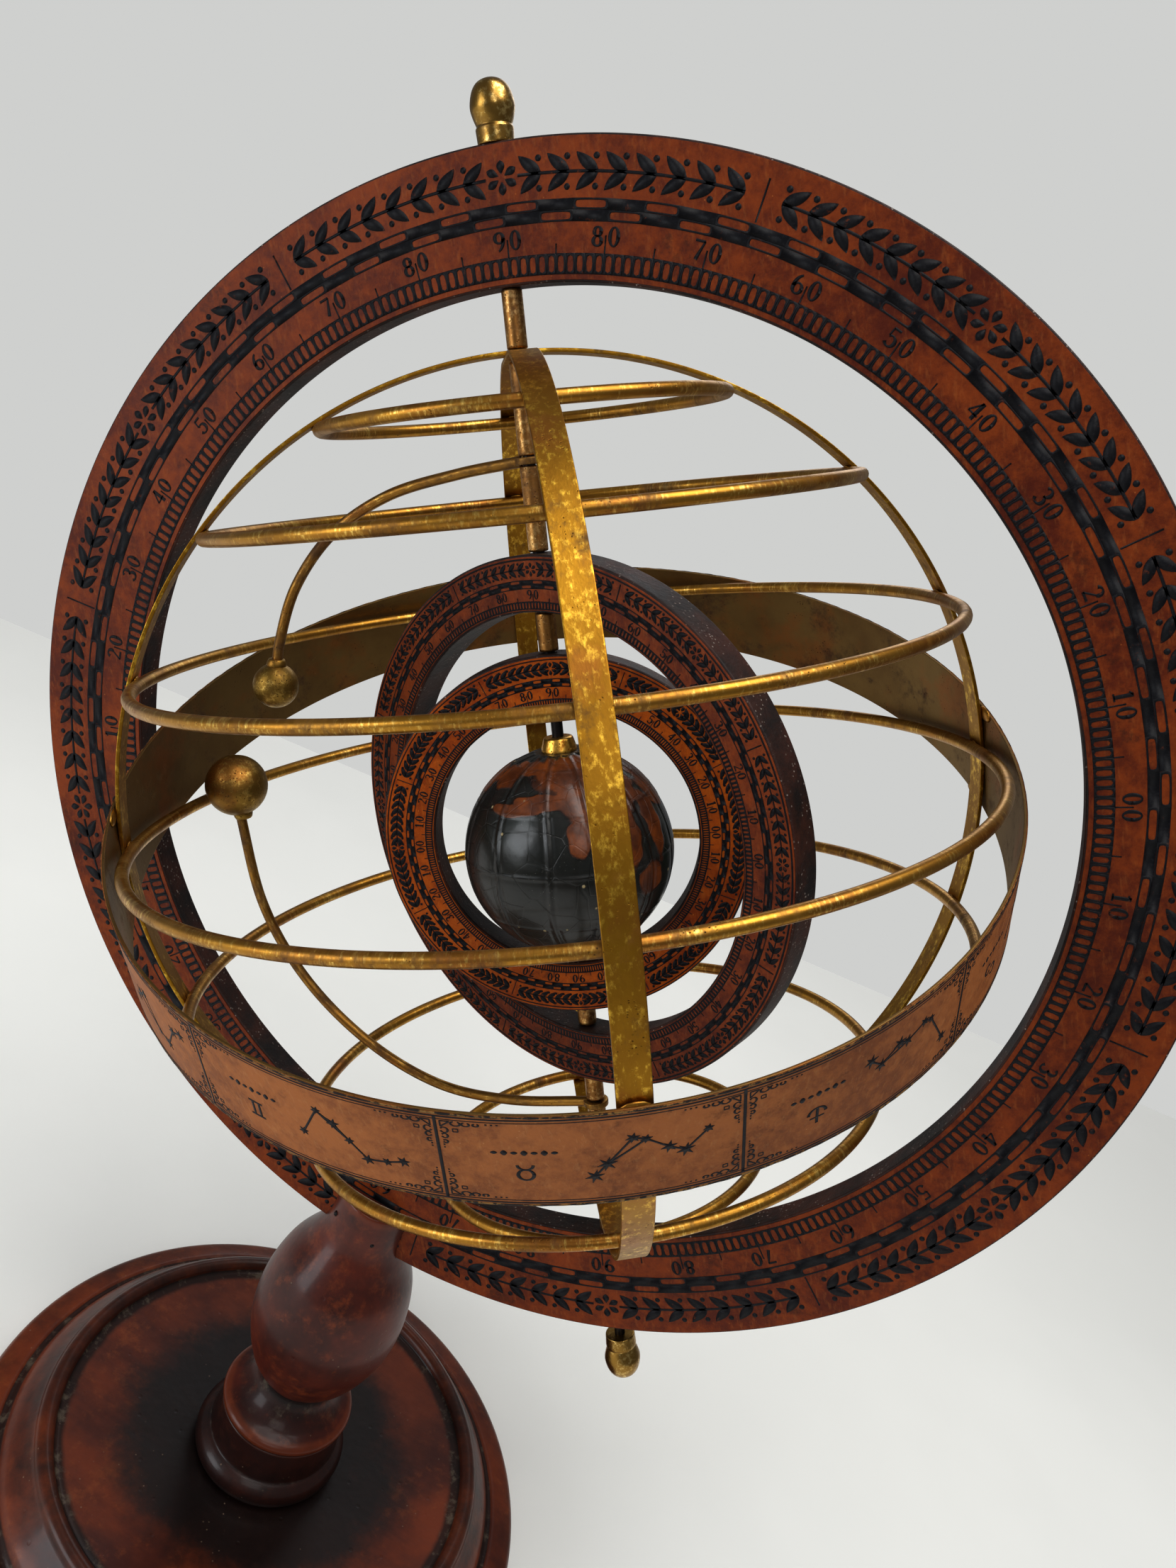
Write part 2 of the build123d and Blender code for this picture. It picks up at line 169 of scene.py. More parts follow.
def relief_of(profile, k):
    """How far a profile stands out of its own average over k points to each side: below 0 in a groove."""
    pad = np.pad(profile, ((k, k), (0, 0)), mode="edge")
    window = np.ones(2 * k + 1) / (2 * k + 1)
    blur = coords(*(np.convolve(column, window, "valid") for column in pad.T))
    along = np.gradient(profile, axis=0)
    out = coords(-along[:, 1], along[:, 0])
    out /= norm(out, axis=1, keepdims=True) + 1e-9
    outward = np.sign(((profile - profile.mean(0)) * out).sum() + 1e-9)
    return ((profile - blur) * out).sum(1) * outward


# ---- surfaces
def spun(profile, sides):
    """A profile of radius and height turned about z: (r cos a, r sin a, h) on a grid."""
    a = linspace(0, 2 * pi, sides, endpoint=False)
    r, h = profile[:, :1], profile[:, 1:2]
    return coords(r * cos(a), r * sin(a), h)


def carried(path, across, section):
    """A section carried along a path in one plane: path + u times the in-plane normal + v times across."""
    along = np.gradient(path, axis=0)
    along /= norm(along, axis=1, keepdims=True)
    out = np.cross(along, across)
    u, v = section[None, :, 0, None], section[None, :, 1, None]
    return path[:, None, :] + u * out[:, None, :] + v * array(across)


def round_section(radius, sides=14):
    """A circle, as a closed loop."""
    a = linspace(0, 2 * pi, sides, endpoint=False)
    return radius * coords(cos(a), sin(a))


def mesh_of(vertices, quads, uv=None, values=None):
    """A mesh from arrays. Where the signed volume of its faces is below 0 they are turned round."""
    v = vertices - vertices.mean(0)
    a, b, c, d = (v[quads[:, k]] for k in range(4))
    if (np.cross(b, c) * a).sum() + (np.cross(c, d) * a).sum() < 0:
        quads = quads[:, ::-1]
        uv = None if uv is None else uv[:, ::-1]
    mesh = bpy.data.meshes.new("mesh")
    mesh.from_pydata(vertices * MM, [], quads, shade_flat=False)
    if uv is not None:
        mesh.uv_layers.new(name="UVMap").data.foreach_set("uv", (uv * MM).ravel())
    for key, value in (values or {}).items():
        mesh.attributes.new(key, "FLOAT", "POINT").data.foreach_set("value", value.ravel())
    return mesh


def cells(rows, columns, wrap_rows, wrap_columns):
    """The four corners of every cell of a grid, unwrapped, and the same as vertex numbers."""
    i = arange(rows if wrap_rows else rows - 1)
    j = arange(columns if wrap_columns else columns - 1)
    i, j = (x.reshape(-1, 1) for x in np.meshgrid(i, j, indexing="ij"))
    i, j = i + array([[0, 1, 1, 0]]), j + array([[0, 0, 1, 1]])
    return i, j, (i % rows) * columns + j % columns


def added(name, data):
    """A new object in the scene."""
    obj = bpy.data.objects.new(name, data)
    bpy.context.scene.collection.objects.link(obj)
    return obj


def piece(name, mesh, finish, body, *stands_for):
    """One object from a mesh: it takes the finish's material, rides on its body and hides the CAD nodes it
    replaces.
    """
    material, slot = finish
    mesh.name = name
    mesh.materials.append(material)
    obj = added(name, mesh)
    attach(obj, body)
    if stands_for:
        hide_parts(*stands_for)
    return obj


def smoothed(work, mesh):
    """The worked mesh written back, with every face shaded smooth."""
    work.to_mesh(mesh)
    work.free()
    mesh.polygons.foreach_set("use_smooth", np.ones(len(mesh.polygons), bool))
    mesh.update()
    return mesh


def surface(points, where, wrap_rows=False, values=None):
    """A grid of points as a closed mesh: doubles at poles and tips are merged, open tube ends capped."""
    rows, columns = points.shape[:2]
    i, j, quads = cells(rows, columns, wrap_rows, True)
    loop = vstack([points, points[:1]]) if wrap_rows else points
    along = np.r_[0, np.cumsum(norm(np.diff(loop, axis=0), axis=2).mean(1))]
    girth = norm(np.roll(points, -1, axis=1) - points, axis=2).mean(0)
    around = np.r_[0, np.cumsum(girth)]
    uv = coords(around[j], along[i])
    mesh = mesh_of(placed(points.reshape(-1, 3), where), quads, uv, values)
    work = bmesh.new()
    work.from_mesh(mesh)
    bmesh.ops.remove_doubles(work, verts=work.verts, dist=1e-7)
    holes = [e for e in work.edges if e.is_boundary]
    if holes:
        bmesh.ops.holes_fill(work, edges=holes, sides=0)
        bmesh.ops.recalc_face_normals(work, faces=work.faces)
    return smoothed(work, mesh)


def lathed(profile, where, sides, loop=False, groove=0):
    """A profile turned about the frame's z. Where groove is given, in points of the profile, its relief
    is kept for the grime in its grooves."""
    values = {"relief": np.repeat(relief_of(profile, groove), sides)} if groove else None
    return surface(spun(profile, sides), where, wrap_rows=loop, values=values)


def hooped(low, high, corner, where, sides, steps=4):
    """A flat band turned about the frame's z: a rounded rectangle of radius and height."""
    return lathed(box_loop(low, high, corner, steps), where, sides, loop=True)


def joined(meshes):
    """Several meshes as one; they share no vertices."""
    work = bmesh.new()
    for mesh in meshes:
        work.from_mesh(mesh)
    return smoothed(work, bpy.data.meshes.new("mesh"))


# ---- materials
def math_method(operation, swapped=False):
    """A Math node's operation as a method of Value."""
    def method(self, other):
        first, second = (other, self) if swapped else (self, other)
        return self.kit.node("Math", {"operation": operation}, {0: first, 1: second})
    return method


class Value:
    """A number or colour that varies over a surface; arithmetic on it adds Math nodes."""

    def __init__(self, kit, socket):
        self.kit = kit
        self.socket = socket

    __add__ = __radd__ = math_method("ADD")
    __sub__ = math_method("SUBTRACT")
    __rsub__ = math_method("SUBTRACT", swapped=True)
    __mul__ = __rmul__ = math_method("MULTIPLY")
    least = math_method("MINIMUM")

    def rise(self, low, high):
        """0 below low, 1 above high, eased between; turned round where low is above high."""
        return self.kit.node("MapRange", {"interpolation_type": "SMOOTHSTEP"},
                             {"Value": self, "From Min": low, "From Max": high})


def tint(red, green, blue):
    """A colour given in the 0 to 255 steps that people read, as linear light."""
    steps = [c / 255 for c in (red, green, blue)]
    return tuple(c / 12.92 if c < .04045 else ((c + .055) / 1.055) ** 2.4 for c in steps) + (1.0,)


class Kit:
    """A material's nodes. Colours are given as three steps from 0 to 255."""

    def __init__(self, name):
        self.material = bpy.data.materials.new(name)
        self.material.use_nodes = True
        self.tree = self.material.node_tree
        self.tree.nodes.clear()
        self.here = self.node("TexCoord", out="Object")
        self.skin = self.node("TexCoord", out="UV")

    def node(self, kind, settings=None, inputs=None, out=0):
        """One node: its settings are set first, then the values or links of its sockets."""
        made = self.tree.nodes.new("ShaderNode" + kind)
        for key, value in (settings or {}).items():
            setattr(made, key, value)
        for key, value in (inputs or {}).items():
            if isinstance(value, Value):
                self.tree.links.new(value.socket, made.inputs[key])
            else:
                made.inputs[key].default_value = value
        return Value(self, made.outputs[out])

    def mix(self, factor, a, b):
        """Two colours mixed."""
        a, b = (c if isinstance(c, Value) else tint(*c) for c in (a, b))
        return self.node("Mix", {"data_type": "RGBA"}, {0: factor, 6: a, 7: b}, out=2)

    def start(self, factor, a, b):
        """The ground colour: two colours mixed."""
        self.color = self.mix(factor, a, b)

    def lay(self, mask, color):
        """Another colour over what is there, as far as the mask goes."""
        self.color = self.mix(mask, self.color, color)

    def value(self, name):
        """A value kept on the mesh's vertices."""
        return self.node("Attribute", {"attribute_name": name}, out="Fac")

    def stretched(self, scale, turn=(0, 0, 0), at=None):
        """Coordinates turned by degrees, then stretched."""
        vector = at or self.here
        if any(turn):
            vector = self.node("Mapping", {}, {"Vector": vector, "Rotation": tuple(map(radians, turn))})
        return self.node("VectorMath", {"operation": "MULTIPLY"}, {0: vector, 1: scale})

    def noise(self, size, detail=3.0, rough=.55, at=None):
        """Cloudy noise whose blobs are about size millimetres across; 0 to 1 around 0.5."""
        return self.node("TexNoise", {}, {"Vector": at or self.here, "Scale": .6 / (size * MM),
                                          "Detail": detail, "Roughness": rough})

    def specks(self, size, low, high):
        """Small round specks: near the middles of scattered cells."""
        near = self.node("TexVoronoi", {}, {"Vector": self.here, "Scale": 1 / (size * MM)})
        return near.rise(high, low)

    def finish(self, slot, rough, height, depth, metal=0.0, coat=0.0, coat_rough=.2, sheen=0.0, shine=.5):
        """The surface shader with its bump; depth is the bump's height in millimetres."""
        bump = self.node("Bump", {}, {"Strength": 1.0, "Distance": depth * MM, "Height": height})
        shader = self.node("BsdfPrincipled", {}, {
            "Base Color": self.color, "Roughness": rough, "Metallic": metal, "Coat Weight": coat,
            "Coat Roughness": coat_rough, "Sheen Weight": sheen, "Specular IOR Level": shine, "Normal": bump})
        end = self.tree.nodes.new("ShaderNodeOutputMaterial")
        self.tree.links.new(shader.socket, end.inputs["Surface"])
        return self.material, slot


def turned_wood(name, dark, middle, light, shade, worn=.5, grain_turn=(0, 0, 0), gloss=.3):
    """Stained and waxed turning: faint grain, blotchy stain, black wax in the grooves, worn rims.
    shade(kit) gives how far the black stain goes, from 0 to 1, over the piece."""
    kit = Kit(name)
    relief = kit.value("relief")
    blotch = kit.noise(20, 5, .6)
    grain = kit.noise(3.4, 4, .65, kit.stretched((1, 1, .12), grain_turn))
    wear = (relief + (kit.noise(5, 4) - .5) * .5).rise(.05, .5)
    grime = (relief * -1 + (kit.noise(4) - .5) * .3).rise(.12, .5)
    kit.start((blotch * .95 + grain * .18).rise(.42, .74), dark, middle)
    kit.lay((kit.noise(2.3, 5, .7) * .6 + kit.noise(12) * .5).rise(.56, .75) * .55, light)
    kit.lay(wear * worn, light)
    black = shade(kit) + (kit.noise(13, 5, .62) - .5) * .85 + (kit.noise(2.2, 4, .7) - .5) * .45
    kit.lay(black.rise(.2, .95) * .95, (17, 13, 13))
    kit.lay(grime * .85, (15, 11, 10))
    pale = grime * kit.noise(3, 4, .7).rise(.5, .68)
    kit.lay(pale * .55, (112, 100, 84))
    dust = kit.specks(2.6, .04, .12).least(kit.noise(9, 2).rise(.54, .62))
    kit.lay(dust * .6, (140, 118, 98))
    rough = gloss + kit.noise(9, 4) * .16 + grime * .25 + dust * .3 + kit.noise(1.5) * .08
    dents = kit.specks(6.5, .04, .12) * -.4
    height = grain * .12 + kit.noise(1.1) * .22 + dents + kit.noise(9) * 1.3
    return kit.finish("turned_wood", rough, height, .2, coat=.22, coat_rough=.15, shine=.26)


def ring_edge():
    """The blackened, waxed edge of a printed ring, with pale dust and nicks."""
    kit = Kit("ring_edge")
    base = kit.mix(kit.noise(8, 5, .65).rise(.35, .7), (21, 16, 16), (66, 34, 24))
    specks = kit.specks(1.1, .08, .26).least(kit.noise(4).rise(.46, .58))
    kit.start(specks * .75, base, (158, 146, 136))
    height = kit.noise(.7, 4, .7) - specks * .4
    return kit.finish("ring_wood", .42 + kit.noise(6) * .2, height, .2, shine=.3)


def printed_paper(name, deep, warm, pale, gloss=.4):
    """Old printed paper under varnish: cloudy stain, short fibres, foxing and a fine tooth."""
    kit = Kit(name)
    cloud = kit.noise(16, 5, .62)
    mottle = kit.noise(1.7, 5, .72)
    fibre = kit.noise(.6, 3, .6, kit.stretched((1, 1, .3), (0, 33, 0))).rise(.52, .74)
    kit.start((cloud * .75 + mottle * .6).rise(.5, .84), deep, warm)
    kit.lay(fibre * .22, pale)
    foxing = kit.noise(5.5, 5, .72) * .7 + kit.noise(1.5, 4, .7) * .4 + kit.noise(38, 2) * .4
    kit.lay(foxing.rise(.8, .98) * .7, (52, 22, 10))
    lint = kit.specks(3.4, .02, .06)
    kit.lay(lint * .6, pale)
    rough = gloss + mottle * .22 + kit.noise(30, 2) * .1
    height = mottle * .7 + kit.noise(.5, 2) * .6 + fibre * .3 + cloud * 1.2
    return kit.finish("printed_paper", rough, height, .12, coat=.08, coat_rough=.33, shine=.16)


def printing_ink(name, ink, worn, wear_from=.66):
    """Thick black print: a grainy gloss skin with bare flecks."""
    kit = Kit(name)
    skin = kit.noise(.42, 3, .7)
    worn_off = (kit.noise(1.0, 4, .7) + kit.noise(9) * .25).rise(wear_from, wear_from + .14)
    kit.start(skin.rise(.5, .85), ink, (38, 37, 42))
    kit.lay(worn_off * .85, worn)
    return kit.finish("printed_paper", .4 + skin * .25, skin + kit.noise(1.4), .05, shine=.2)


def aged_brass(name, base, bright, dark, tarnish=.5, shine=.56, pits=.3, rough=.28, run=None, fleck=.7):
    """Old brass: soft tarnish in clouds, small rubbed flecks, brown stains and pits. Where run is given
    the pattern follows the strip's own length, drawn out that much."""
    kit = Kit(name)
    at = kit.stretched((1, 1 / run, 1), at=kit.skin) if run else kit.here
    cloud = kit.noise(11, 4, .6, at)
    fine = kit.noise(fleck, 4, .7, at)
    rubbed = (fine * .8 + kit.noise(7, 3, .6, at) * .4).rise(1.16 - shine, 1.36 - shine)
    stains = kit.noise(8, 5, .65) * .75 + kit.noise(1.6, 5, .72, at) * .5
    stains = stains.rise(1.10 - tarnish, 1.36 - tarnish)
    kit.start(cloud.rise(.35, .75) * .7, base, dark)
    copper = (kit.noise(13) * .8 + kit.noise(3, 4, .7, at) * .3).rise(.56, .72)
    kit.lay(copper * .55, (150, 92, 46))
    kit.lay(rubbed * .75, bright)
    kit.lay(stains * .8, (58, 32, 20))
    holes = kit.specks(.8, .07, .28).least(kit.noise(3).rise(.64 - pits * .3, .75 - pits * .3))
    kit.lay(holes * .75, (34, 20, 14))
    uneven = stains * .25 + cloud * .16 + holes * .3 - rubbed * .08
    height = fine * .6 - holes * .7 + kit.noise(2.6, 3, .6) * .6
    return kit.finish("brass", uneven + rough, height, .07, metal=1.0 - stains * .5)


def globe_paint():
    """The varnished globe: green-black sea, red-brown land where the land value is high, chips and cracks."""
    kit = Kit("globe_paint")
    land, seam = kit.value("land"), kit.value("seam")
    edge = land + (kit.noise(1.7, 4, .65) - .5) * .24
    ground = edge.rise(.485, .515)
    sea = kit.mix(kit.noise(9, 4).rise(.38, .68), (15, 18, 15), (33, 32, 30))
    sea = kit.mix(kit.noise(17).rise(.45, .65), sea, (19, 31, 24))
    soil = kit.mix(kit.noise(4, 5, .7).rise(.35, .7), (74, 34, 10), (126, 64, 20))
    kit.start(ground, sea, soil)
    shore = edge.rise(.44, .49) * (1 - edge.rise(.52, .58))
    kit.lay(shore * .7, (26, 15, 12))
    kit.lay(seam * .5, (12, 12, 12))
    chips = kit.specks(5.2, .05, .1)
    kit.lay(chips * .9, (176, 158, 118))
    dust = kit.specks(.8, .04, .14).least(kit.noise(6, 2).rise(.52, .62))
    kit.lay(dust * .5, (150, 146, 140))
    crack = kit.node("TexVoronoi", {"feature": "DISTANCE_TO_EDGE"},
                     {"Vector": kit.here, "Scale": 1 / (7 * MM)}).rise(.03, 0.0)
    rough = .3 + kit.noise(3, 4) * .16 + chips * .3 + dust * .2 + ground * .06
    height = ground * 1.0 + seam * .8 + kit.noise(2.6, 4) * .8 + chips - crack * .35
    return kit.finish("globe_varnish", rough, height, .22, coat=.45, coat_rough=.16, shine=.36)


def dark_steel():
    """Blued steel with a little rust."""
    kit = Kit("axle_steel")
    rust = (kit.noise(1.6, 5, .7) + kit.noise(8) * .3).rise(.72, .9)
    kit.start(rust, (42, 39, 40), (74, 46, 32))
    return kit.finish("dark_steel", .34 + rust * .35, kit.noise(.8, 4), .05, metal=.85 - rust * .5)


def felt_nap():
    """Matted green-brown felt: crossed fibres and lint."""
    kit = Kit("felt_nap")
    hair = kit.noise(.5, 5, .8) * .6 + kit.noise(.8, 3, .7, kit.stretched((1, .2, 1), (0, 0, 31))) * .4
    kit.start(hair.rise(.35, .7), (28, 33, 26), (66, 70, 54))
    return kit.finish("felt", .93, hair, .35, sheen=.25)


def table_paint():
    """A matt pale surface with the faintest clouding."""
    kit = Kit("table_paint")
    kit.start(kit.noise(180, 4).rise(.35, .7), (243, 244, 241), (250, 251, 248))
    return kit.finish("stage", .62, kit.noise(6, 4), .12)


def base_shade(kit):
    """Black stain that fills the middle of the base, thins out, and comes back on its bead and rim."""
    radius = kit.node("VectorMath", {"operation": "LENGTH"}, {0: kit.stretched((1, 1, 0))}, out=1)
    middle = radius.rise(60 * MM, 30 * MM)
    bead = radius.rise(60 * MM, 63.5 * MM) * (1 - radius.rise(71 * MM, 77 * MM))
    rim = radius.rise(74 * MM, 85 * MM)
    return middle * 1.05 + bead * .62 + rim * .45


def height_shade(*stops):
    """Stain that follows the height above the table, through stops of (height in mm, amount)."""
    def shade(kit):
        high = kit.node("SeparateXYZ", {}, {"Vector": kit.here}, out="Z")
        total = stops[0][1]
        for (low, first), (top, last) in zip(stops, stops[1:]):
            total = total + high.rise(low * MM, top * MM) * (last - first)
        return total
    return shade


BASE_WOOD = turned_wood("wood_base", (68, 24, 12), (116, 50, 20), (140, 72, 30), base_shade, .1, (0, 90, 0))
BALUSTER_WOOD = turned_wood("wood_baluster", (54, 18, 12), (98, 36, 19), (144, 68, 28),
                            height_shade((41, .1), (46, 0.0), (54, 0.0), (58, .25), (66, .2), (76, .1),
                                         (100, .25), (118, .35)), .3)
FOOT_WOOD = turned_wood("wood_foot", (46, 22, 18), (74, 34, 24), (98, 48, 30),
                        height_shade((20, .72), (28, .55), (31, .6), (41, .35)), .2, gloss=.26)
RING_EDGE = ring_edge()
GREAT_PAPER = printed_paper("great_paper", (82, 27, 8), (128, 56, 13), (168, 98, 44))
MEDIUM_PAPER = printed_paper("medium_paper", (84, 30, 12), (136, 62, 20), (172, 104, 56))
SMALL_PAPER = printed_paper("small_paper", (126, 50, 8), (178, 86, 12), (200, 124, 42))
BAND_PAPER = printed_paper("band_paper", (122, 70, 38), (164, 102, 56), (192, 140, 90), gloss=.5)
RING_INK = printing_ink("ring_ink", (14, 14, 19), (96, 44, 20), .74)
BAND_INK = printing_ink("band_ink", (22, 21, 26), (120, 80, 52), .78)
BAND_RIM = printing_ink("band_rim", (34, 28, 26), (150, 112, 58), .6)
WIRE_BRASS = aged_brass("wire_brass", (176, 130, 52), (244, 208, 116), (128, 86, 40), run=3.5, fleck=.5)
HOOP_BRASS = aged_brass("hoop_brass", (164, 120, 36), (252, 208, 84), (124, 84, 28), tarnish=.45,
                        shine=.57, rough=.32, run=1.7, fleck=.9)
BAND_BRASS = aged_brass("band_brass", (128, 102, 60), (180, 150, 96), (104, 78, 46), tarnish=.47,
                        shine=.42, rough=.42)
TUBE_BRASS = aged_brass("tube_brass", (168, 122, 66), (236, 196, 132), (106, 68, 38), shine=.58, pits=.8)
FITTING_BRASS = aged_brass("fitting_brass", (152, 118, 58), (236, 204, 132), (110, 82, 42), tarnish=.42,
                           shine=.55, pits=.25, rough=.22)
PLANET_BRASS = aged_brass("planet_brass", (146, 116, 54), (214, 180, 100), (110, 82, 38), tarnish=.44,
                          pits=.8, rough=.36)
ARM_BRASS = aged_brass("arm_brass", (160, 118, 54), (236, 194, 108), (106, 72, 36), tarnish=.56, run=3.5,
                       fleck=.5)
COLLAR_BRASS = aged_brass("collar_brass", (196, 126, 40), (252, 204, 98), (124, 68, 22), tarnish=.36,
                          shine=.66, pits=.6)
GLOBE_PAINT = globe_paint()
STEEL = dark_steel()
FELT = felt_nap()
TABLE_PAINT = table_paint()[0]


# ---- print, in flat millimetres
def raised(flat, skin):
    """Flat loops of four given their heights: two at the skin's low side, two at its high side."""
    low, high = skin
    return coords(flat[..., 0], flat[..., 1], [low, low, high, high]).reshape(len(flat), -1, 3)


def ribbons(lines, widths, skin):
    """Raised strokes: a rectangle from the skin's low to its high side carried along each line, square to
    it, ends closed. lines is (count, steps, 2). Gives points (count, steps * 4, 3) and faces."""
    lines = np.asarray(lines, float)
    count, steps = lines.shape[:2]
    along = np.gradient(lines, axis=1)
    along /= norm(along, axis=2, keepdims=True) + 1e-9
    across = coords(-along[..., 1], along[..., 0]) * np.broadcast_to(widths, (count, steps))[..., None] / 2
    flat = np.stack([lines + across, lines - across, lines - across, lines + across], 2)
    caps = array([[3, 2, 1, 0], [0, 1, 2, 3]]) + [[0], [(steps - 1) * 4]]
    return raised(flat, skin), vstack([cells(steps, 4, False, True)[2], caps])


def panes(centres, half, window, skin, sides, square):
    """Printed cells with a bare rounded window: the skin between a rectangle and a superellipse."""
    ray = round_section(1, sides)
    outer = ray / abs(ray).max(1, keepdims=True) * half
    inner = np.sign(ray) * abs(ray) ** (2 / square) * window
    flat = centres[:, None, None, :] + np.stack([outer, inner, inner, outer], 1)
    return raised(flat, skin), cells(sides, 4, True, True)[2]


def printed(batches, bend, where):
    """Batches of raised print bent on to their surface and joined as one mesh."""
    vertices, quads, start = [], [], 0
    for points, faces in batches:
        count, size = points.shape[:2]
        vertices.append(points.reshape(-1, 3))
        quads.append((faces[None] + (start + arange(count) * size)[:, None, None]).reshape(-1, 4))
        start += count * size
    return mesh_of(placed(bend(vstack(vertices)), where), vstack(quads))


THICK, THIN, PEN_STEPS = .21, .095, 17


def arc(cx, cy, rx, ry, start, end, thick=THICK, thin=THIN):
    """A pen stroke on an ellipse, thick where it runs upright: (x, y, width)."""
    a = radians(linspace(start, end, PEN_STEPS))
    return coords(cx + rx * cos(a), cy + ry * sin(a), thin + (thick - thin) * cos(a) ** 2)


def bar(x0, y0, x1, y1, first, last=None):
    """A straight pen stroke: (x, y, width)."""
    t = linspace(0, 1, PEN_STEPS)[:, None]
    ends = array([[x0, y0, first], [x1, y1, first if last is None else last]])
    return ends[:1] + (ends[1:] - ends[:1]) * t


NUMERALS = {
    0: [arc(.31, .5, .23, .46, 0, 360)],
    1: [bar(.33, .98, .33, .02, THICK), bar(.33, .96, .14, .80, THIN), bar(.12, .03, .54, .03, THIN)],
    2: [arc(.30, .72, .22, .24, 165, -35), bar(.48, .60, .06, .05, THIN, .1), bar(.05, .05, .58, .05, .13)],
    3: [arc(.29, .74, .21, .23, 150, -88), arc(.29, .27, .25, .24, 88, -155)],
    4: [bar(.45, .98, .03, .30, THIN), bar(.03, .30, .62, .30, .09), bar(.45, .98, .45, .02, THICK)],
    5: [bar(.14, .94, .55, .94, .12), bar(.15, .94, .11, .54, THIN), arc(.29, .31, .26, .27, 130, -155)],
    6: [arc(.32, .29, .24, .26, 0, 360), arc(.50, .34, .42, .62, 180, 105)],
    7: [bar(.05, .93, .58, .93, .13), bar(.57, .93, .24, .02, THIN, THICK)],
    8: [arc(.31, .73, .19, .22, 0, 360), arc(.31, .27, .23, .24, 0, 360)],
    9: [arc(.30, .71, .24, .26, 0, 360), arc(.12, .66, .42, .62, 0, -75)],
}


def strokes(shapes, spots, size, skin):
    """Pen shapes set at flat spots (x, y), each size high, centred on its spot."""
    lines = array([line for shape in shapes for line in shape])
    home = np.repeat(array(spots), [len(shape) for shape in shapes], axis=0)
    flat = (lines[..., :2] - [.31, .5]) * size + home[:, None, :]
    return ribbons(flat, lines[..., 2] * size, skin)


ZONES = array([-66.5, -23.5, 23.5, 66.5])
DASHES, LEAF_DEGREES = 108, 2.5
DASH_SHARES, CELL_SHARE, NUMERAL_SHARE, LAUREL_SHARE = (.9073, .8918), .8275, .8645, .9500


def garland(at, first, span, share, tall, skin):
    """Two laurel sprays that grow from the ends of their run towards a rosette in its middle: a stem with
    a pair of slanted leaves and a pair of berries at every step. tall is how far the leaves reach."""
    middle = first + span / 2
    pairs = max(int(span / 2 / LEAF_DEGREES), 1)
    s, t = linspace(0, 1, 9), linspace(-1, 1, 7)
    leaf_width = tall * .62 * sin(pi * s ** .8) ** .8 + tall * .03
    berry_width = .36 * tall * np.sqrt(np.maximum(1 - t ** 2, .02))
    petal_width = tall * .42 * sin(pi * s ** 1.3) ** .8 + tall * .03
    made = []
    for forward, start in ((1, first), (-1, first + span)):
        root = at(start + (middle - start) * (arange(pairs) + .1) / (pairs + .5), share)
        tip = at(middle - forward * 1.5, share)[0]
        made.append(ribbons([linspace(root[0], tip, 12)], tall * .17, skin))
        x, y = root[:, :1], root[:, 1:]
        for side in (1, -1):
            leaf = coords(x + forward * tall * 1.2 * s ** .9, y + side * tall * (.08 + .92 * s ** 1.25))
            made.append(ribbons(leaf, leaf_width, skin))
            berry = coords(x + forward * tall * .12 + .17 * tall * t, y + side * tall * .80)
            made.append(ribbons(berry, berry_width, skin))
    turn = radians(arange(6) * 60 + 30)[:, None]
    out = tall * (.22 + .72 * s)
    made.append(ribbons(at(middle, share) + coords(out * cos(turn), out * sin(turn)), petal_width, skin))
    return made


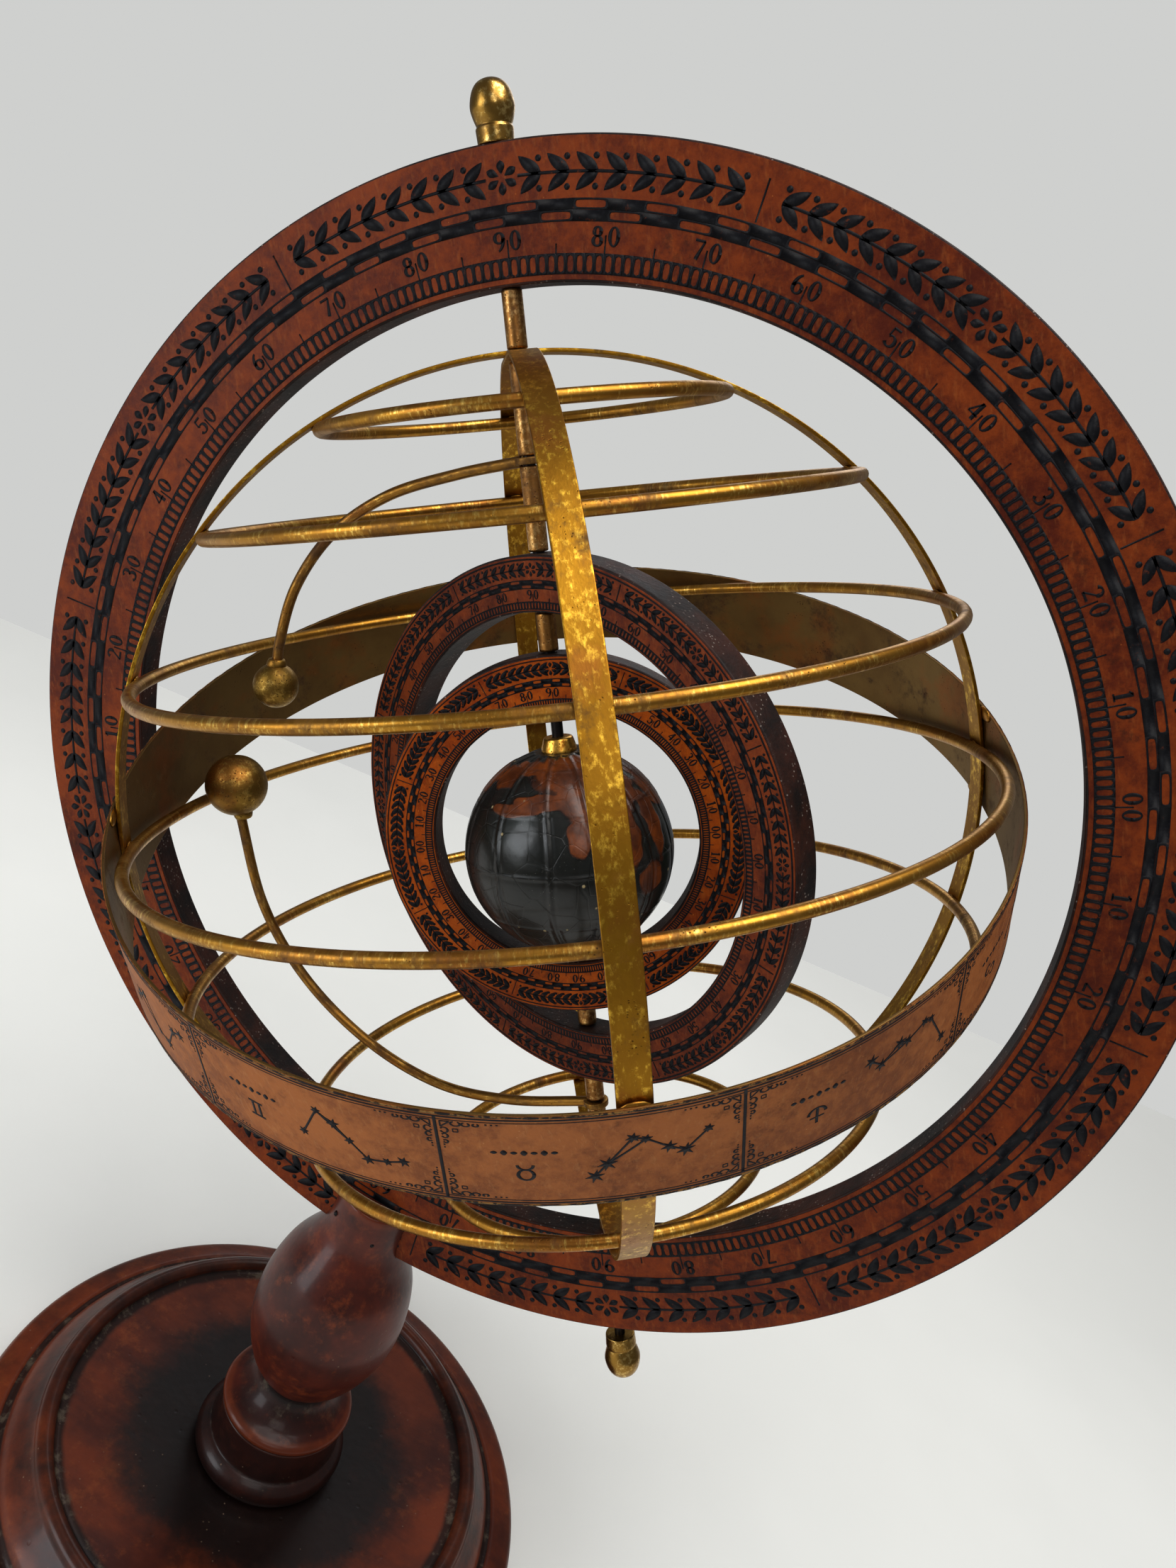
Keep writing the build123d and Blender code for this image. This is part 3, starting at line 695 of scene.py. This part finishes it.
def ring_print(outer, bore, thick, weight):
    """Everything printed on a ring's face: two rows of dashes, degree cells, ticks, numerals and laurel.
    Flat x runs clockwise along the numerals' circle, flat y is the distance from the centre; a share is
    a distance as a part of the outer radius. weight makes the lines bolder, as on the small rings."""
    bold = outer / RING_R * weight
    skin = thick / 2 - .04, thick / 2 + .06
    reference = .88 * outer
    per_degree = radians(1) * reference
    spread = (1 - bore / outer) / (1 - RING_BORE_R / RING_R)

    def at(degrees, share):
        return coords(np.atleast_1d(degrees) * per_degree, (1 - (1 - share) * spread) * outer)

    def ticks(degrees, inner, edge, width):
        return ribbons(np.stack([at(degrees, inner), at(degrees, edge)], 1), width * bold, skin)

    middle = (arange(DASHES) + .5) * 360 / DASHES
    half = array([360 / DASHES * per_degree / 2, .0155 * outer * spread / 2])
    window = half * [.94 - .08 * weight, .76 - .1 * weight]
    batches = []
    for row, share in enumerate(DASH_SHARES):
        bare = (arange(DASHES) + row) % 2 == 0
        batches.append(panes(at(middle[bare], share), half, window, skin, 16, 5.0))
        spots, side = at(middle[~bare], share), [half[0], 0]
        batches.append(ribbons(np.stack([spots - side, spots + side], 1), 2 * half[1], skin))
    half = array([per_degree / 2, .0285 * outer * spread / 2])
    window = half * [.80 - .16 * weight, .90 - .10 * weight]
    batches.append(panes(at(arange(360) + .5, CELL_SHARE), half, window, skin, 8, 3.2))
    borders = np.sort(np.r_[ZONES + 90, ZONES + 270] % 360)
    batches += [ticks(arange(5, 360, 10), .841, .855, .30), ticks(arange(0, 360, 10), .841, .866, .34),
                ticks(borders, .917, .975, .34)]
    digit = .0275 * outer * spread * (.75 + .25 * weight)
    shift = digit * .46 / per_degree
    figures, spots = [], []
    for degree in range(0, 360, 10):
        for figure, step in zip(divmod(abs(90 - degree % 180), 10), (-shift, shift)):
            figures.append(NUMERALS[figure])
            spots.append(at(degree + step, NUMERAL_SHARE)[0])
    batches.append(strokes(figures, spots, digit, skin))
    for first, last in zip(borders, np.roll(borders, -1)):
        span = (last - first) % 360
        batches += garland(at, first + 1.4, span - 2.8, LAUREL_SHARE, .0250 * outer * spread, skin)
    if weight > 1:
        batches.append(ribbons([at(linspace(0, 360, 361), .984)], .5 * bold, skin))
    return batches, reference


def face_bend(reference):
    """Flat print wrapped round a ring's face: the angle is x over the reference radius, clockwise."""
    def bend(points):
        a = points[:, 0] / reference + radians(PRINT_TURN)
        return coords(points[:, 1] * sin(a), points[:, 1] * cos(a), points[:, 2])
    return bend


def star_picture(seed, width, height):
    """An invented star figure: stars of several sizes joined in order by thin lines."""
    draw = np.random.default_rng(seed)
    x = linspace(-width / 2, width / 2, STARS) + draw.uniform(-.9, .9, STARS)
    y = draw.uniform(-height / 2, height / 2, STARS)
    size = draw.uniform(.9, 1.9, STARS)
    t = linspace(-1, 1, PEN_STEPS)
    links = [(k, k + 1) for k in range(STARS - 1)] + [(1, 3)]
    marks = [bar(x[a], y[a], x[b], y[b], .42) for a, b in links]
    for k in range(STARS):
        for turn in radians((15, 75, 135)):
            dx, dy = size[k] * cos(turn), size[k] * sin(turn)
            marks.append(coords(x[k] + dx * t, y[k] + dy * t, .95 * (1 - abs(t)) + .06))
    return array(marks)


def corner_scrolls():
    """A corner ornament in its own quarter: a small triangle, a square and curls that shrink to dots."""
    triangle, square = [(.9, .9), (2.6, .9), (.9, 2.6)], [(3, 3), (3.9, 3), (3.9, 3.9), (3, 3.9)]
    marks = [bar(*a, *b, width) for shape, width in ((triangle, .28), (square, .2))
             for a, b in zip(shape, shape[1:] + shape[:1])]
    for k, size in enumerate((.82, .66, .48)):
        along = 3.6 + k * 1.75
        marks.append(arc(along, 1.45, size, size * .8, -60, 250, .42, .2))
        marks.append(arc(1.45, along, size * .8, size, -150, 160, .42, .2))
    for k in range(3):
        along, up = 8.9 + k * .95, 8.1 + k * .8
        marks.append(bar(along - .18, 1.1, along + .18, 1.1, .34 - .04 * k))
        if k < 2:
            marks.append(bar(1.1, up - .18, 1.1, up + .18, .32 - .04 * k))
    return array(marks)


STARS, PANELS, PANEL_DEGREES, FIRST_PANEL = 7, 12, 29.4, -18.9 - 5 * 29.4
SIGNS = [
    [arc(0, 0, 1.2, 1.0, 0, 180, .4, .2), bar(0, -1.6, 0, 1.0, .36), bar(-1, -.6, 1, -.6, .2)],
    [arc(-.9, .5, .8, .8, 40, 320, .4, .2), arc(.9, -.5, .8, .8, -140, 140, .4, .2)],
    [bar(-1, -1.3, 1, 1.3, .36), bar(1, .1, 1, 1.3, .22), bar(-.1, 1.3, 1, 1.3, .22),
     bar(-1, .1, .2, -1, .22)],
    [arc(0, 0, 1, 1.3, 60, 300, .42, .2), bar(-.4, 0, 1.1, 0, .24)],
    [bar(-1.1, 1.2, 1.1, 1.2, .26), bar(-1.1, -1.2, 1.1, -1.2, .26), bar(-.5, -1.2, -.5, 1.2, .34),
     bar(.5, -1.2, .5, 1.2, .34)],
    [arc(0, -.4, .9, .9, 0, 360, .4, .2), arc(0, 1.3, .9, .8, 180, 360, .34, .2)],
]


def band_print(radius):
    """The printed strip: border lines, twelve panels with corner scrolls, a rule, a sign and stars."""
    skin = -.03, .05
    half = (BAND_W - PAPER_MARGIN) / 2
    pitch, first = radians(PANEL_DEGREES) * radius, radians(FIRST_PANEL) * radius
    around = linspace(0, 2 * pi * radius, 541)
    batches = [ribbons([coords(around, y)], width, skin) for y, width in (
        (half - .55, .34), (half - 1.25, .16), (-half + .55, .34), (-half + 1.25, .16))]
    scroll, t = corner_scrolls(), linspace(-1, 1, PEN_STEPS)
    marks = []
    for k in range(PANELS + 1):
        x = first + k * pitch
        marks.append(bar(x, -half + .6, x, half - .6, .6))
    for k in range(PANELS):
        start = first + k * pitch
        for sx, sy in ((1, 1), (1, -1), (-1, 1), (-1, -1)):
            corner = [start if sx > 0 else start + pitch, (-half + .9) * sy, 0]
            marks.extend(scroll * [sx, sy * .86, 1] + corner)
        for j in range(7):
            dot = (1.25 if j % 2 else .7) * (1 - t ** 2) + .06
            marks.append(coords(start + 9.6 + j * 1.75 + .62 * t, 2.7, dot))
        for mark in SIGNS[k % len(SIGNS)]:
            marks.append(mark * [1.55, 1.55, 1.7] + [start + 14.8, -2.6, 0])
        marks.extend(star_picture(200 + k, 21, 10.5) + [start + 36.5, 0, 0])
    marks = array(marks)
    batches.append(ribbons(marks[..., :2], marks[..., 2], skin))

    def bend(points):
        a, r = points[:, 0] / radius, radius + points[:, 2]
        return coords(r * cos(a), r * sin(a), points[:, 1])
    return batches, bend


# ---- the wooden stand
def build_stand():
    """Felt, base, foot, baluster and pins, all turned about the stem's axis."""
    r, z = FELT_R, FELT_T
    felt = outline([(0, 0), (r - .3, 0)], [(r, .4), (r, 1.2)], [(r - .3, z), (0, z)], step=1.2, soften=1)
    piece("felt_disc", lathed(felt, STAND, 200), FELT, "stand", "felt_pad")
    r, z = BASE_R, FELT_T + .02
    base = outline(
        [(0, z), (r - 2.5, z)],
        [(r - .6, 2.4), (r, 4.6), (r - .05, 7.4)],
        [(r - 1.2, 10.1), (r - 4.2, 11.4), (r - 8.4, 12.4)],
        [(r - 9.7, 11.5), (r - 10.8, 12.5)],
        [(r - 12.7, 15.9), (r - 16.6, 20.1), (r - 18.7, 22.6)],
        [(r - 19.2, 24.3), (r - 21.3, 25.5), (r - 23.3, 24.6), (r - 24.2, 22.7)],
        [(r - 25.4, 22.2), (52, 21.3), (38, 20.5), (24, PLATEAU_Z), (0, PLATEAU_Z)],
        step=.48, soften=2)
    piece("turned_base", lathed(base, STAND, 240, groove=10), BASE_WOOD, "stand", "base_foot")
    r, z, top, torus = FOOT_R, PLATEAU_Z, PLATEAU_Z + FOOT_TORUS_H, FOOT_TORUS_R
    foot = outline(
        [(0, z - .6), (r - .6, z - .6)], [(r, z + .2), (r + .8, z + .4)],
        [(torus - .6, z + 2.2), (torus, z + 4.5), (torus - .7, z + 7), (r + .6, top)],
        [(r - .1, top + .6), (r - .5, 35), (r - .3, FOOT_TOP_Z + .1)], [(0, FOOT_TOP_Z + .1)])
    piece("turned_foot", lathed(foot, STAND, 200, groove=6), FOOT_WOOD, "stand", "stem_foot")
    stem = outline(
        [(0, FOOT_TOP_Z), (18.6, FOOT_TOP_Z)],
        [(19.7, 41.6), (19.8, 43.1), (19.0, 44.1)],
        [(15.2, 46.0), (12.2, 49.3), (10.9, 53.0), (10.9, 54.1)],
        [(11.9, 55.1), (17.0, 62.5), (21.0, 74.0), (21.8, 86.0), (19.4, 98.5), (14.4, 108.5), (11.6, 116.0),
         (11.0, 126.3)],
        [(10.7, 127.2), (9.9, NECK_TOP_Z), (0, NECK_TOP_Z)], step=.4)
    turning = lathed(stem, STAND, 220, groove=10)
    baluster = piece("turned_baluster", turning, BALUSTER_WOOD, "stand", "stem_baluster")
    r, z = RING_R + .03, RING_T / 2 + .03
    slot = outline([(0, -z), (r, -z)], [(r, z)], [(0, z)], step=2.0, soften=0)
    cutter = added("slot_cutter", lathed(slot, inside((UPRIGHT, AXLE[1]), FRONT_FACE), SLOT_SIDES))
    cut = baluster.modifiers.new("slot", "BOOLEAN")
    cut.object, cut.operation, cut.solver = cutter, "DIFFERENCE", "EXACT"
    depsgraph = bpy.context.evaluated_depsgraph_get()
    baluster.data = bpy.data.meshes.new_from_object(baluster.evaluated_get(depsgraph))
    baluster.modifiers.clear()
    bpy.data.objects.remove(cutter)
    pins = []
    for x, z, r in PIN_SPOTS:
        pin = outline([(0, -r - .12), (.45, -r - .05), (.72, -r + .2)], [(.7, 0), (.72, r - .2)],
                      [(.45, r + .05), (0, r + .12)], step=.15)
        pins.append(lathed(pin, inside(STAND, FRONT_FACE, (x, 0, z)), 20))
    piece("neck_pins", joined(pins), STEEL, "stand", "ring_pins")


# ---- printed rings
def build_ring(size, body, outer, bore, thick, where, paper, weight=1.0):
    """A wooden ring with blackened edges, its two printed papers and the print on both."""
    top, margin = thick / 2, PAPER_MARGIN * .6
    faces = {"front": inside(where, FRONT_FACE), "back": inside(where, BACK_FACE)}
    wood = hooped((bore, -top + PAPER_T), (outer, top - PAPER_T), .45, faces["front"], RING_SIDES)
    piece(f"{size}_ring_wood", wood, RING_EDGE, body, f"{size}_ring")
    batches, reference = ring_print(outer, bore, thick, weight)
    for side, face in faces.items():
        sheet = hooped((bore + margin, top - PAPER_T - .02), (outer - margin, top), .05, face, RING_SIDES, 2)
        piece(f"{size}_ring_paper_{side}", sheet, paper, body, f"{size}_scale_{side}")
        inked = printed(batches, face_bend(reference), face)
        piece(f"{size}_ring_print_{side}", inked, RING_INK, body)


def build_rings():
    """The fixed great ring, and the medium and small rings that turn on the axle."""
    build_ring("great", "stand", RING_R, RING_BORE_R, RING_T, AXLE, GREAT_PAPER)
    for size, outer, bore, height, turn, paper in (
            ("medium", MEDIUM_R, MEDIUM_BORE_R, MEDIUM_Z, MEDIUM_TURN, MEDIUM_PAPER),
            ("small", SMALL_R, SMALL_BORE_R, SMALL_Z, SMALL_TURN, SMALL_PAPER)):
        where = inside(AXLE, turned(turn), (0, 0, height))
        build_ring(size, f"{size}_hoop", outer, bore, INNER_T, where, paper, INNER_WEIGHT)


# ---- the axle and what is fixed on it
def build_axle():
    """Rod, distance tubes and acorn finials."""
    south_end = -RING_R - SOUTH_FINIAL_DROP
    low, high, r = south_end - FINIAL_SOCKET, RING_R + FINIAL_SOCKET, ROD_R
    rod = outline([(0, low), (r - .3, low)], [(r, low + .4)], [(r, high - .4)], [(0, high)],
                  step=1.0, soften=0)
    piece("axle_steel", lathed(rod, AXLE, 32), STEEL, "stand", "axle_rod")
    shape = outline([(0, 0), (3.9, 0)], [(4.1, 3.3)], [(3.75, 3.6)],
                    [(4.45, 5.6), (4.8, 7.6), (4.25, 10.2), (3.2, 11.9), (1.6, 12.8), (0, FINIAL_LEN)],
                    step=.16, soften=2)
    for side, rows, height in (("north", UPRIGHT, RING_R), ("south", UPSIDE_DOWN, south_end)):
        acorn = lathed(shape, inside(AXLE, rows, (0, 0, height)), 64)
        piece(f"{side}_acorn", acorn, FITTING_BRASS, "stand", f"{side}_finial")
    cage_in = CAGE_R - 2 * HOOP_T - HOOP_GAP - END_PLAY
    eye, bore = EYE_T / 2 + END_PLAY, MEDIUM_BORE_R - .1 - END_PLAY
    spans = {
        "north_outer": (CAGE_R + END_PLAY, RING_BORE_R - .1),
        "north_upper": (MOON_EYE_Z + eye, cage_in),
        "north_lower": (MEDIUM_Z + MEDIUM_R + END_PLAY, MOON_EYE_Z - eye),
        "north_inner": (SMALL_Z + SMALL_R + END_PLAY, MEDIUM_Z + bore),
        "south_inner": (MEDIUM_Z - bore, SMALL_Z - SMALL_R - END_PLAY),
        "south_upper": (SUN_EYE_Z + eye, MEDIUM_Z - MEDIUM_R - END_PLAY),
        "south_lower": (-cage_in, SUN_EYE_Z - eye),
        "south_outer": (-RING_BORE_R + .1, -CAGE_R - END_PLAY),
    }
    for name, (start, end) in spans.items():
        loop = box_loop((ROD_R - .1, start), (TUBE_R, end), .25, 3)
        tube = lathed(evenly(vstack([loop, loop[:1]]), .5)[:-1], AXLE, 48, loop=True)
        piece(f"sleeve_{name}", tube, TUBE_BRASS, "stand", f"tube_{name}")


# ---- the wire cage
WIRE_SOLDER, BAND_SOLDER = array([.38, 2.1, 1.5]), array([.5, 3.0, 1.6])


def hoop_path(flat_at):
    """The hoop's middle line in its own xz plane; its top and bottom are cut flat at a height."""
    line = round_section(CAGE_R - HOOP_T / 2, BAND_SIDES)
    return coords(line[:, 0], 0, np.clip(line[:, 1], -flat_at, flat_at))


def wire_circle(latitude):
    """The wire's own circle where its parallel lies; turned about the axle it is a torus."""
    line = CAGE_R - HOOP_T - WIRE_R - SOLDER_GAP
    at = radians(latitude)
    return round_section(WIRE_R, 16) + [line * cos(at), line * sin(at)]


def build_cage():
    """Two flat brass hoops, seven wire parallels, solder at the crossings, and the zodiac band."""
    section = box_loop((-HOOP_T / 2, -HOOP_W / 2), (HOOP_T / 2, HOOP_W / 2), .16, 3)
    under = CAGE_R - 2 * HOOP_T - HOOP_GAP + HOOP_T / 2
    for side, turn, flat in (("side", CAGE_TURN + 90, np.inf), ("front", CAGE_TURN, under)):
        path = hoop_path(flat)
        points = carried(vstack([path[-1:], path, path[:1]]), (0, 1, 0), section)[1:-1]
        hoop = surface(points, inside(AXLE, turned(turn)), wrap_rows=True)
        piece(f"{side}_hoop", hoop, HOOP_BRASS, "cage", f"hoop_{side}")
    solder = []
    a = linspace(0, pi, 7)
    lump = spun(coords(abs(sin(a)), -cos(a)), 12)
    line = CAGE_R - HOOP_T - SOLDER_SINK
    for node, latitude in PARALLELS.items():
        wire = lathed(wire_circle(latitude), AXLE, WIRE_SIDES, loop=True)
        piece(node.replace("parallel", "wire"), wire, WIRE_BRASS, "cage", node)
        at = radians(latitude)
        spot = (line * cos(at), 0, line * sin(at))
        for k in range(4):
            sized = lump * WIRE_SOLDER * RNG.uniform(.85, 1.1) @ array(leaning(-latitude))
            solder.append(surface(sized, inside(inside(AXLE, turned(CAGE_TURN + 90 * k)), at=spot)))
    where = inside(inside(AXLE, turned(CAGE_TURN)), leaning(BAND_TILT))
    for k in range(4):
        for height in (BAND_SOLDER_Z, -BAND_SOLDER_Z):
            spot = inside(inside(where, turned(90 * k)), at=(CAGE_R - .05, 0, height))
            solder.append(surface(lump * BAND_SOLDER, spot))
    piece("solder_joints", joined(solder), WIRE_BRASS, "cage")
    inner, half = CAGE_R + BAND_GAP, BAND_W / 2
    face = inner + BAND_T
    strip = hooped((inner, -half), (face, half), .12, where, BAND_SIDES, 3)
    piece("zodiac_strip", strip, BAND_BRASS, "cage", "zodiac_band")
    paper = hooped((face - .02, .12 - half), (face + PAPER_T, half - .12), .05, where, BAND_SIDES, 2)
    piece("zodiac_panels", paper, BAND_PAPER, "cage", "zodiac_paper")
    a = linspace(0, 2 * pi, 721)
    ragged = .52 + .10 * sin(a * 37) * sin(a * 61 + 1) + .07 * sin(a * 173)
    skin, edge = face + PAPER_T, half - RIM_INSET
    rims = [ribbons([coords(a * skin, y)], ragged, (-.04, .03)) for y in (-edge, edge)]
    batches, bend = band_print(skin)
    piece("zodiac_rims", printed(rims, bend, where), BAND_RIM, "cage")
    piece("zodiac_print", printed(batches, bend, where), BAND_INK, "cage")


# ---- the planets and the globe
def build_arm(name, route, eye_z, ball_at, ball_r):
    """A bent wire with a flattened eye round the axle, and the ball it holds."""
    line = evenly(smooth_line(route), .8)
    path = coords(-line[:, 0], 0, line[:, 1])
    wire = surface(carried(path, (0, 1, 0), round_section(ARM_R)), AXLE)
    eye = hooped((ROD_R + BORE_FIT, eye_z - EYE_T / 2), (EYE_R, eye_z + EYE_T / 2), .3, AXLE, 48, 3)
    piece(f"{name}_wire", joined([wire, eye]), ARM_BRASS, name, f"{name}_arm")
    a = linspace(0, pi, 65)
    points = spun(ball_r * coords(sin(a), -cos(a)), 128)
    x, y, z = (points[..., k] for k in range(3))
    dent = 1 - .006 * abs(sin(x * .9 + 1) * sin(y * .8) * sin(z))
    centre = array((-ball_at[0], 0, ball_at[1]))
    ball = surface(points * dent[..., None], inside(AXLE, at=centre))
    heading = path[-1] - path[-6]
    heading /= norm(heading)
    rows = array([np.cross((0, 1, 0), heading), (0, 1, 0), heading])
    collar = outline([(ARM_R, -.2), (1.9, -.2), (2.3, .5), (2.5, 1.4), (2.2, 2.2)], step=.2)
    collar = vstack([[(ARM_R - .2, -.2)], collar, [(ARM_R - .2, 2.2)]])
    start = inside(AXLE, rows, centre - heading * (ball_r + 1.0))
    whole = joined([ball, lathed(collar, start, 40, loop=True)])
    piece(f"{name}_ball_brass", whole, PLANET_BRASS, name, f"{name}_ball")


LAND = [  # invented land: longitude, latitude, reach east, reach north, in degrees
    (-60, 60, 24, 15), (-56, 40, 16, 17), (-64, 22, 7, 10), (-86, 41, 17, 5), (-106, 37, 16, 3.6),
    (-130, 56, 10, 9), (-104, 64, 15, 6), (-30, 46, 15, 16), (-36, 16, 8, 18), (-14, 20, 6.5, 22),
    (-24, -8, 10, 9), (10, 36, 14, 12), (40, 44, 34, 16), (60, 8, 14, 24), (120, 46, 36, 18),
    (150, 8, 20, 12), (100, -22, 18, 15), (-168, 50, 16, 13), (-24, -50, 12, 12), (175, -30, 16, 10),
    (20, -66, 60, 7),
]
GORES = (4, 33, 66, 96, 128, 155, 187, 214, 246, 277, 304, 335)


def build_globe():
    """A ball with flat poles: raised gore seams and low land, both kept as values for the paint."""
    rows, columns = 230, 400
    a = linspace(0, pi, rows)
    flattened = np.clip(-GLOBE_R * cos(a), -GLOBE_FLAT, GLOBE_FLAT)
    points = spun(coords(GLOBE_R * sin(a), flattened), columns)
    latitude = np.degrees(a - pi / 2)[:, None]
    longitude = linspace(0, 360, columns, endpoint=False)[None, :]
    narrowing = cos(radians(latitude))
    land = np.zeros((rows, columns))
    for east, north, wide, tall in LAND:
        turn = (longitude - east + 180) % 360 - 180
        near = (turn * narrowing / wide) ** 2 + ((latitude - north) / tall) ** 2
        land = np.maximum(land, np.exp(-near * .7))
    ripple = sin(radians(longitude * 9) + latitude * .19) * cos(latitude * .33 + radians(longitude * 6))
    land = land + .10 * ripple
    gores = array(GORES)[:, None, None]
    sway = gores + 1.2 * sin(radians(latitude * 4) + gores)
    away = abs((longitude - sway + 180) % 360 - 180) * narrowing
    seam = np.exp(-(away / 1.1) ** 2).max(0)
    groove = np.exp(-((away - 2.2) / .9) ** 2).max(0)
    for north, depth in ((2, .9), (34, .6), (-30, .8), (62, .5)):
        shift = abs(latitude - north - 1.4 * sin(radians(longitude * 2)))
        seam = np.maximum(seam, depth * np.exp(-(shift / 1.1) ** 2))
    x, y, z = (points[..., k] for k in range(3))
    off_pole = np.hypot(x, y) > POLE_R
    lift = off_pole * (.10 * seam - .12 * groove + .14 / (1 + np.exp(-(land - .5) * 40)))
    lumps = .10 * sin(x * .31 + 1) * sin(y * .27) * sin(z * .29 + 2)
    size = (GLOBE_R - .22 + lift + lumps * off_pole) / GLOBE_R
    where = inside(AXLE, at=(0, 0, GLOBE_Z))
    ball = surface(points * size[..., None], where, values={"land": land, "seam": seam * off_pole})
    piece("painted_globe", ball, GLOBE_PAINT, "earth", "earth_globe")
    bore, low, high = ROD_R + BORE_FIT, GLOBE_FLAT - .35, GLOBE_FLAT + CAP_H
    cap = outline([(bore, low), (CAP_FOOT_R, low)], [(CAP_FOOT_R, low + .5)],
                  [(CAP_TOP_R + .25, low + 2.6), (CAP_TOP_R, high - .2)],
                  [(CAP_TOP_R - .4, high), (bore, high)], step=.2, soften=2)
    for side, directions in (("north", UPRIGHT), ("south", UPSIDE_DOWN)):
        collar = lathed(cap, inside(where, directions), 56, loop=True)
        piece(f"globe_collar_{side}", collar, COLLAR_BRASS, "earth", f"globe_cap_{side}")


# ---- the room
CAMERA_AT = (45.6, -270.1, 372.4)
CAMERA_TURN = (66.5427, -23.4026, 18.7077)
LENS, SENSOR = 28.3, 36.0
ROOM_R, TABLE_EDGE_Y, TABLE_EDGE_SLANT, FLOOR_GAP = 950.0, 537.0, .25, .02
FILL_COLOR, FILL_STRENGTH = (.93, .95, .97, 1), .22
WALL_COLOR, VIEW_GAMMA = (.66, .665, .655, 1), .88


def build_room():
    """A pale table whose far edge runs slightly askew behind the object."""
    far = TABLE_EDGE_SLANT * ROOM_R
    corners = array([(-ROOM_R, -ROOM_R), (ROOM_R, -ROOM_R), (-ROOM_R, TABLE_EDGE_Y - far),
                     (ROOM_R, TABLE_EDGE_Y + far)])
    mesh = mesh_of(coords(corners[:, 0], corners[:, 1], -FLOOR_GAP), array([[0, 1, 3, 2]]))
    mesh.materials.append(TABLE_PAINT)
    added("table_top", mesh)


LAMPS = {  # place, what it faces, width and height in mm, watts, colour
    "window": ((-800, -830, 330), (0, 0, 230), 480, 640, 5.2, (.92, .96, 1.0)),
    "ceiling": ((100, -150, 1400), (0, 0, 200), 900, 900, 14, (1.0, .98, .95)),
    "front": ((250, -900, 1000), (0, 0, 260), 500, 500, 1.8, (1.0, .98, .96)),
    "back": ((-250, 1100, 800), (0, 0, 220), 600, 600, 1.9, (.97, .98, 1.0)),
}


def build_light():
    """Soft rectangular lamps and the fill of a pale room, which is seen paler than it lights."""
    for name, (at, aim, width, height, power, color) in LAMPS.items():
        data = bpy.data.lights.new(name, "AREA")
        data.shape = "RECTANGLE"
        data.size, data.size_y = width * MM, height * MM
        data.energy, data.color = power, color
        obj = added(name, data)
        obj.location = Vector(at) * MM
        obj.rotation_euler = (Vector(at) - Vector(aim)).to_track_quat("Z", "Y").to_euler()
    world = bpy.data.worlds.new("room")
    world.use_nodes = True
    nodes, link = world.node_tree.nodes, world.node_tree.links.new
    lights, seen = nodes["Background"], nodes.new("ShaderNodeBackground")
    lights.inputs["Color"].default_value, lights.inputs["Strength"].default_value = FILL_COLOR, FILL_STRENGTH
    seen.inputs["Color"].default_value = WALL_COLOR
    path, either = nodes.new("ShaderNodeLightPath"), nodes.new("ShaderNodeMixShader")
    link(path.outputs["Is Camera Ray"], either.inputs[0])
    link(lights.outputs[0], either.inputs[1])
    link(seen.outputs[0], either.inputs[2])
    link(either.outputs[0], nodes["World Output"].inputs["Surface"])
    scene = bpy.context.scene
    scene.world = world
    scene.view_settings.view_transform = "Standard"
    scene.view_settings.gamma = VIEW_GAMMA


def build_camera():
    """The viewer's place: close, above and to the right, and rolled."""
    data = bpy.data.cameras.new("viewer")
    data.lens, data.sensor_width, data.clip_start, data.clip_end = LENS, SENSOR, .01, 50
    obj = added("viewer", data)
    obj.location = Vector(CAMERA_AT) * MM
    obj.rotation_euler = Euler([radians(a) for a in CAMERA_TURN])
    bpy.context.scene.camera = obj


build_camera()
build_light()
build_room()
build_stand()
build_rings()
build_axle()
build_cage()
build_arm("moon", MOON_ROUTE, MOON_EYE_Z, MOON_AT, MOON_R)
build_arm("sun", SUN_ROUTE, SUN_EYE_Z, SUN_AT, SUN_R)
build_globe()
for node in ("base_screw", "base_washer"):
    metal = frame["nodes"][node]
    metal.data.materials.clear()
    metal.data.materials.append(STEEL[0])

bpy.context.view_layer.update()
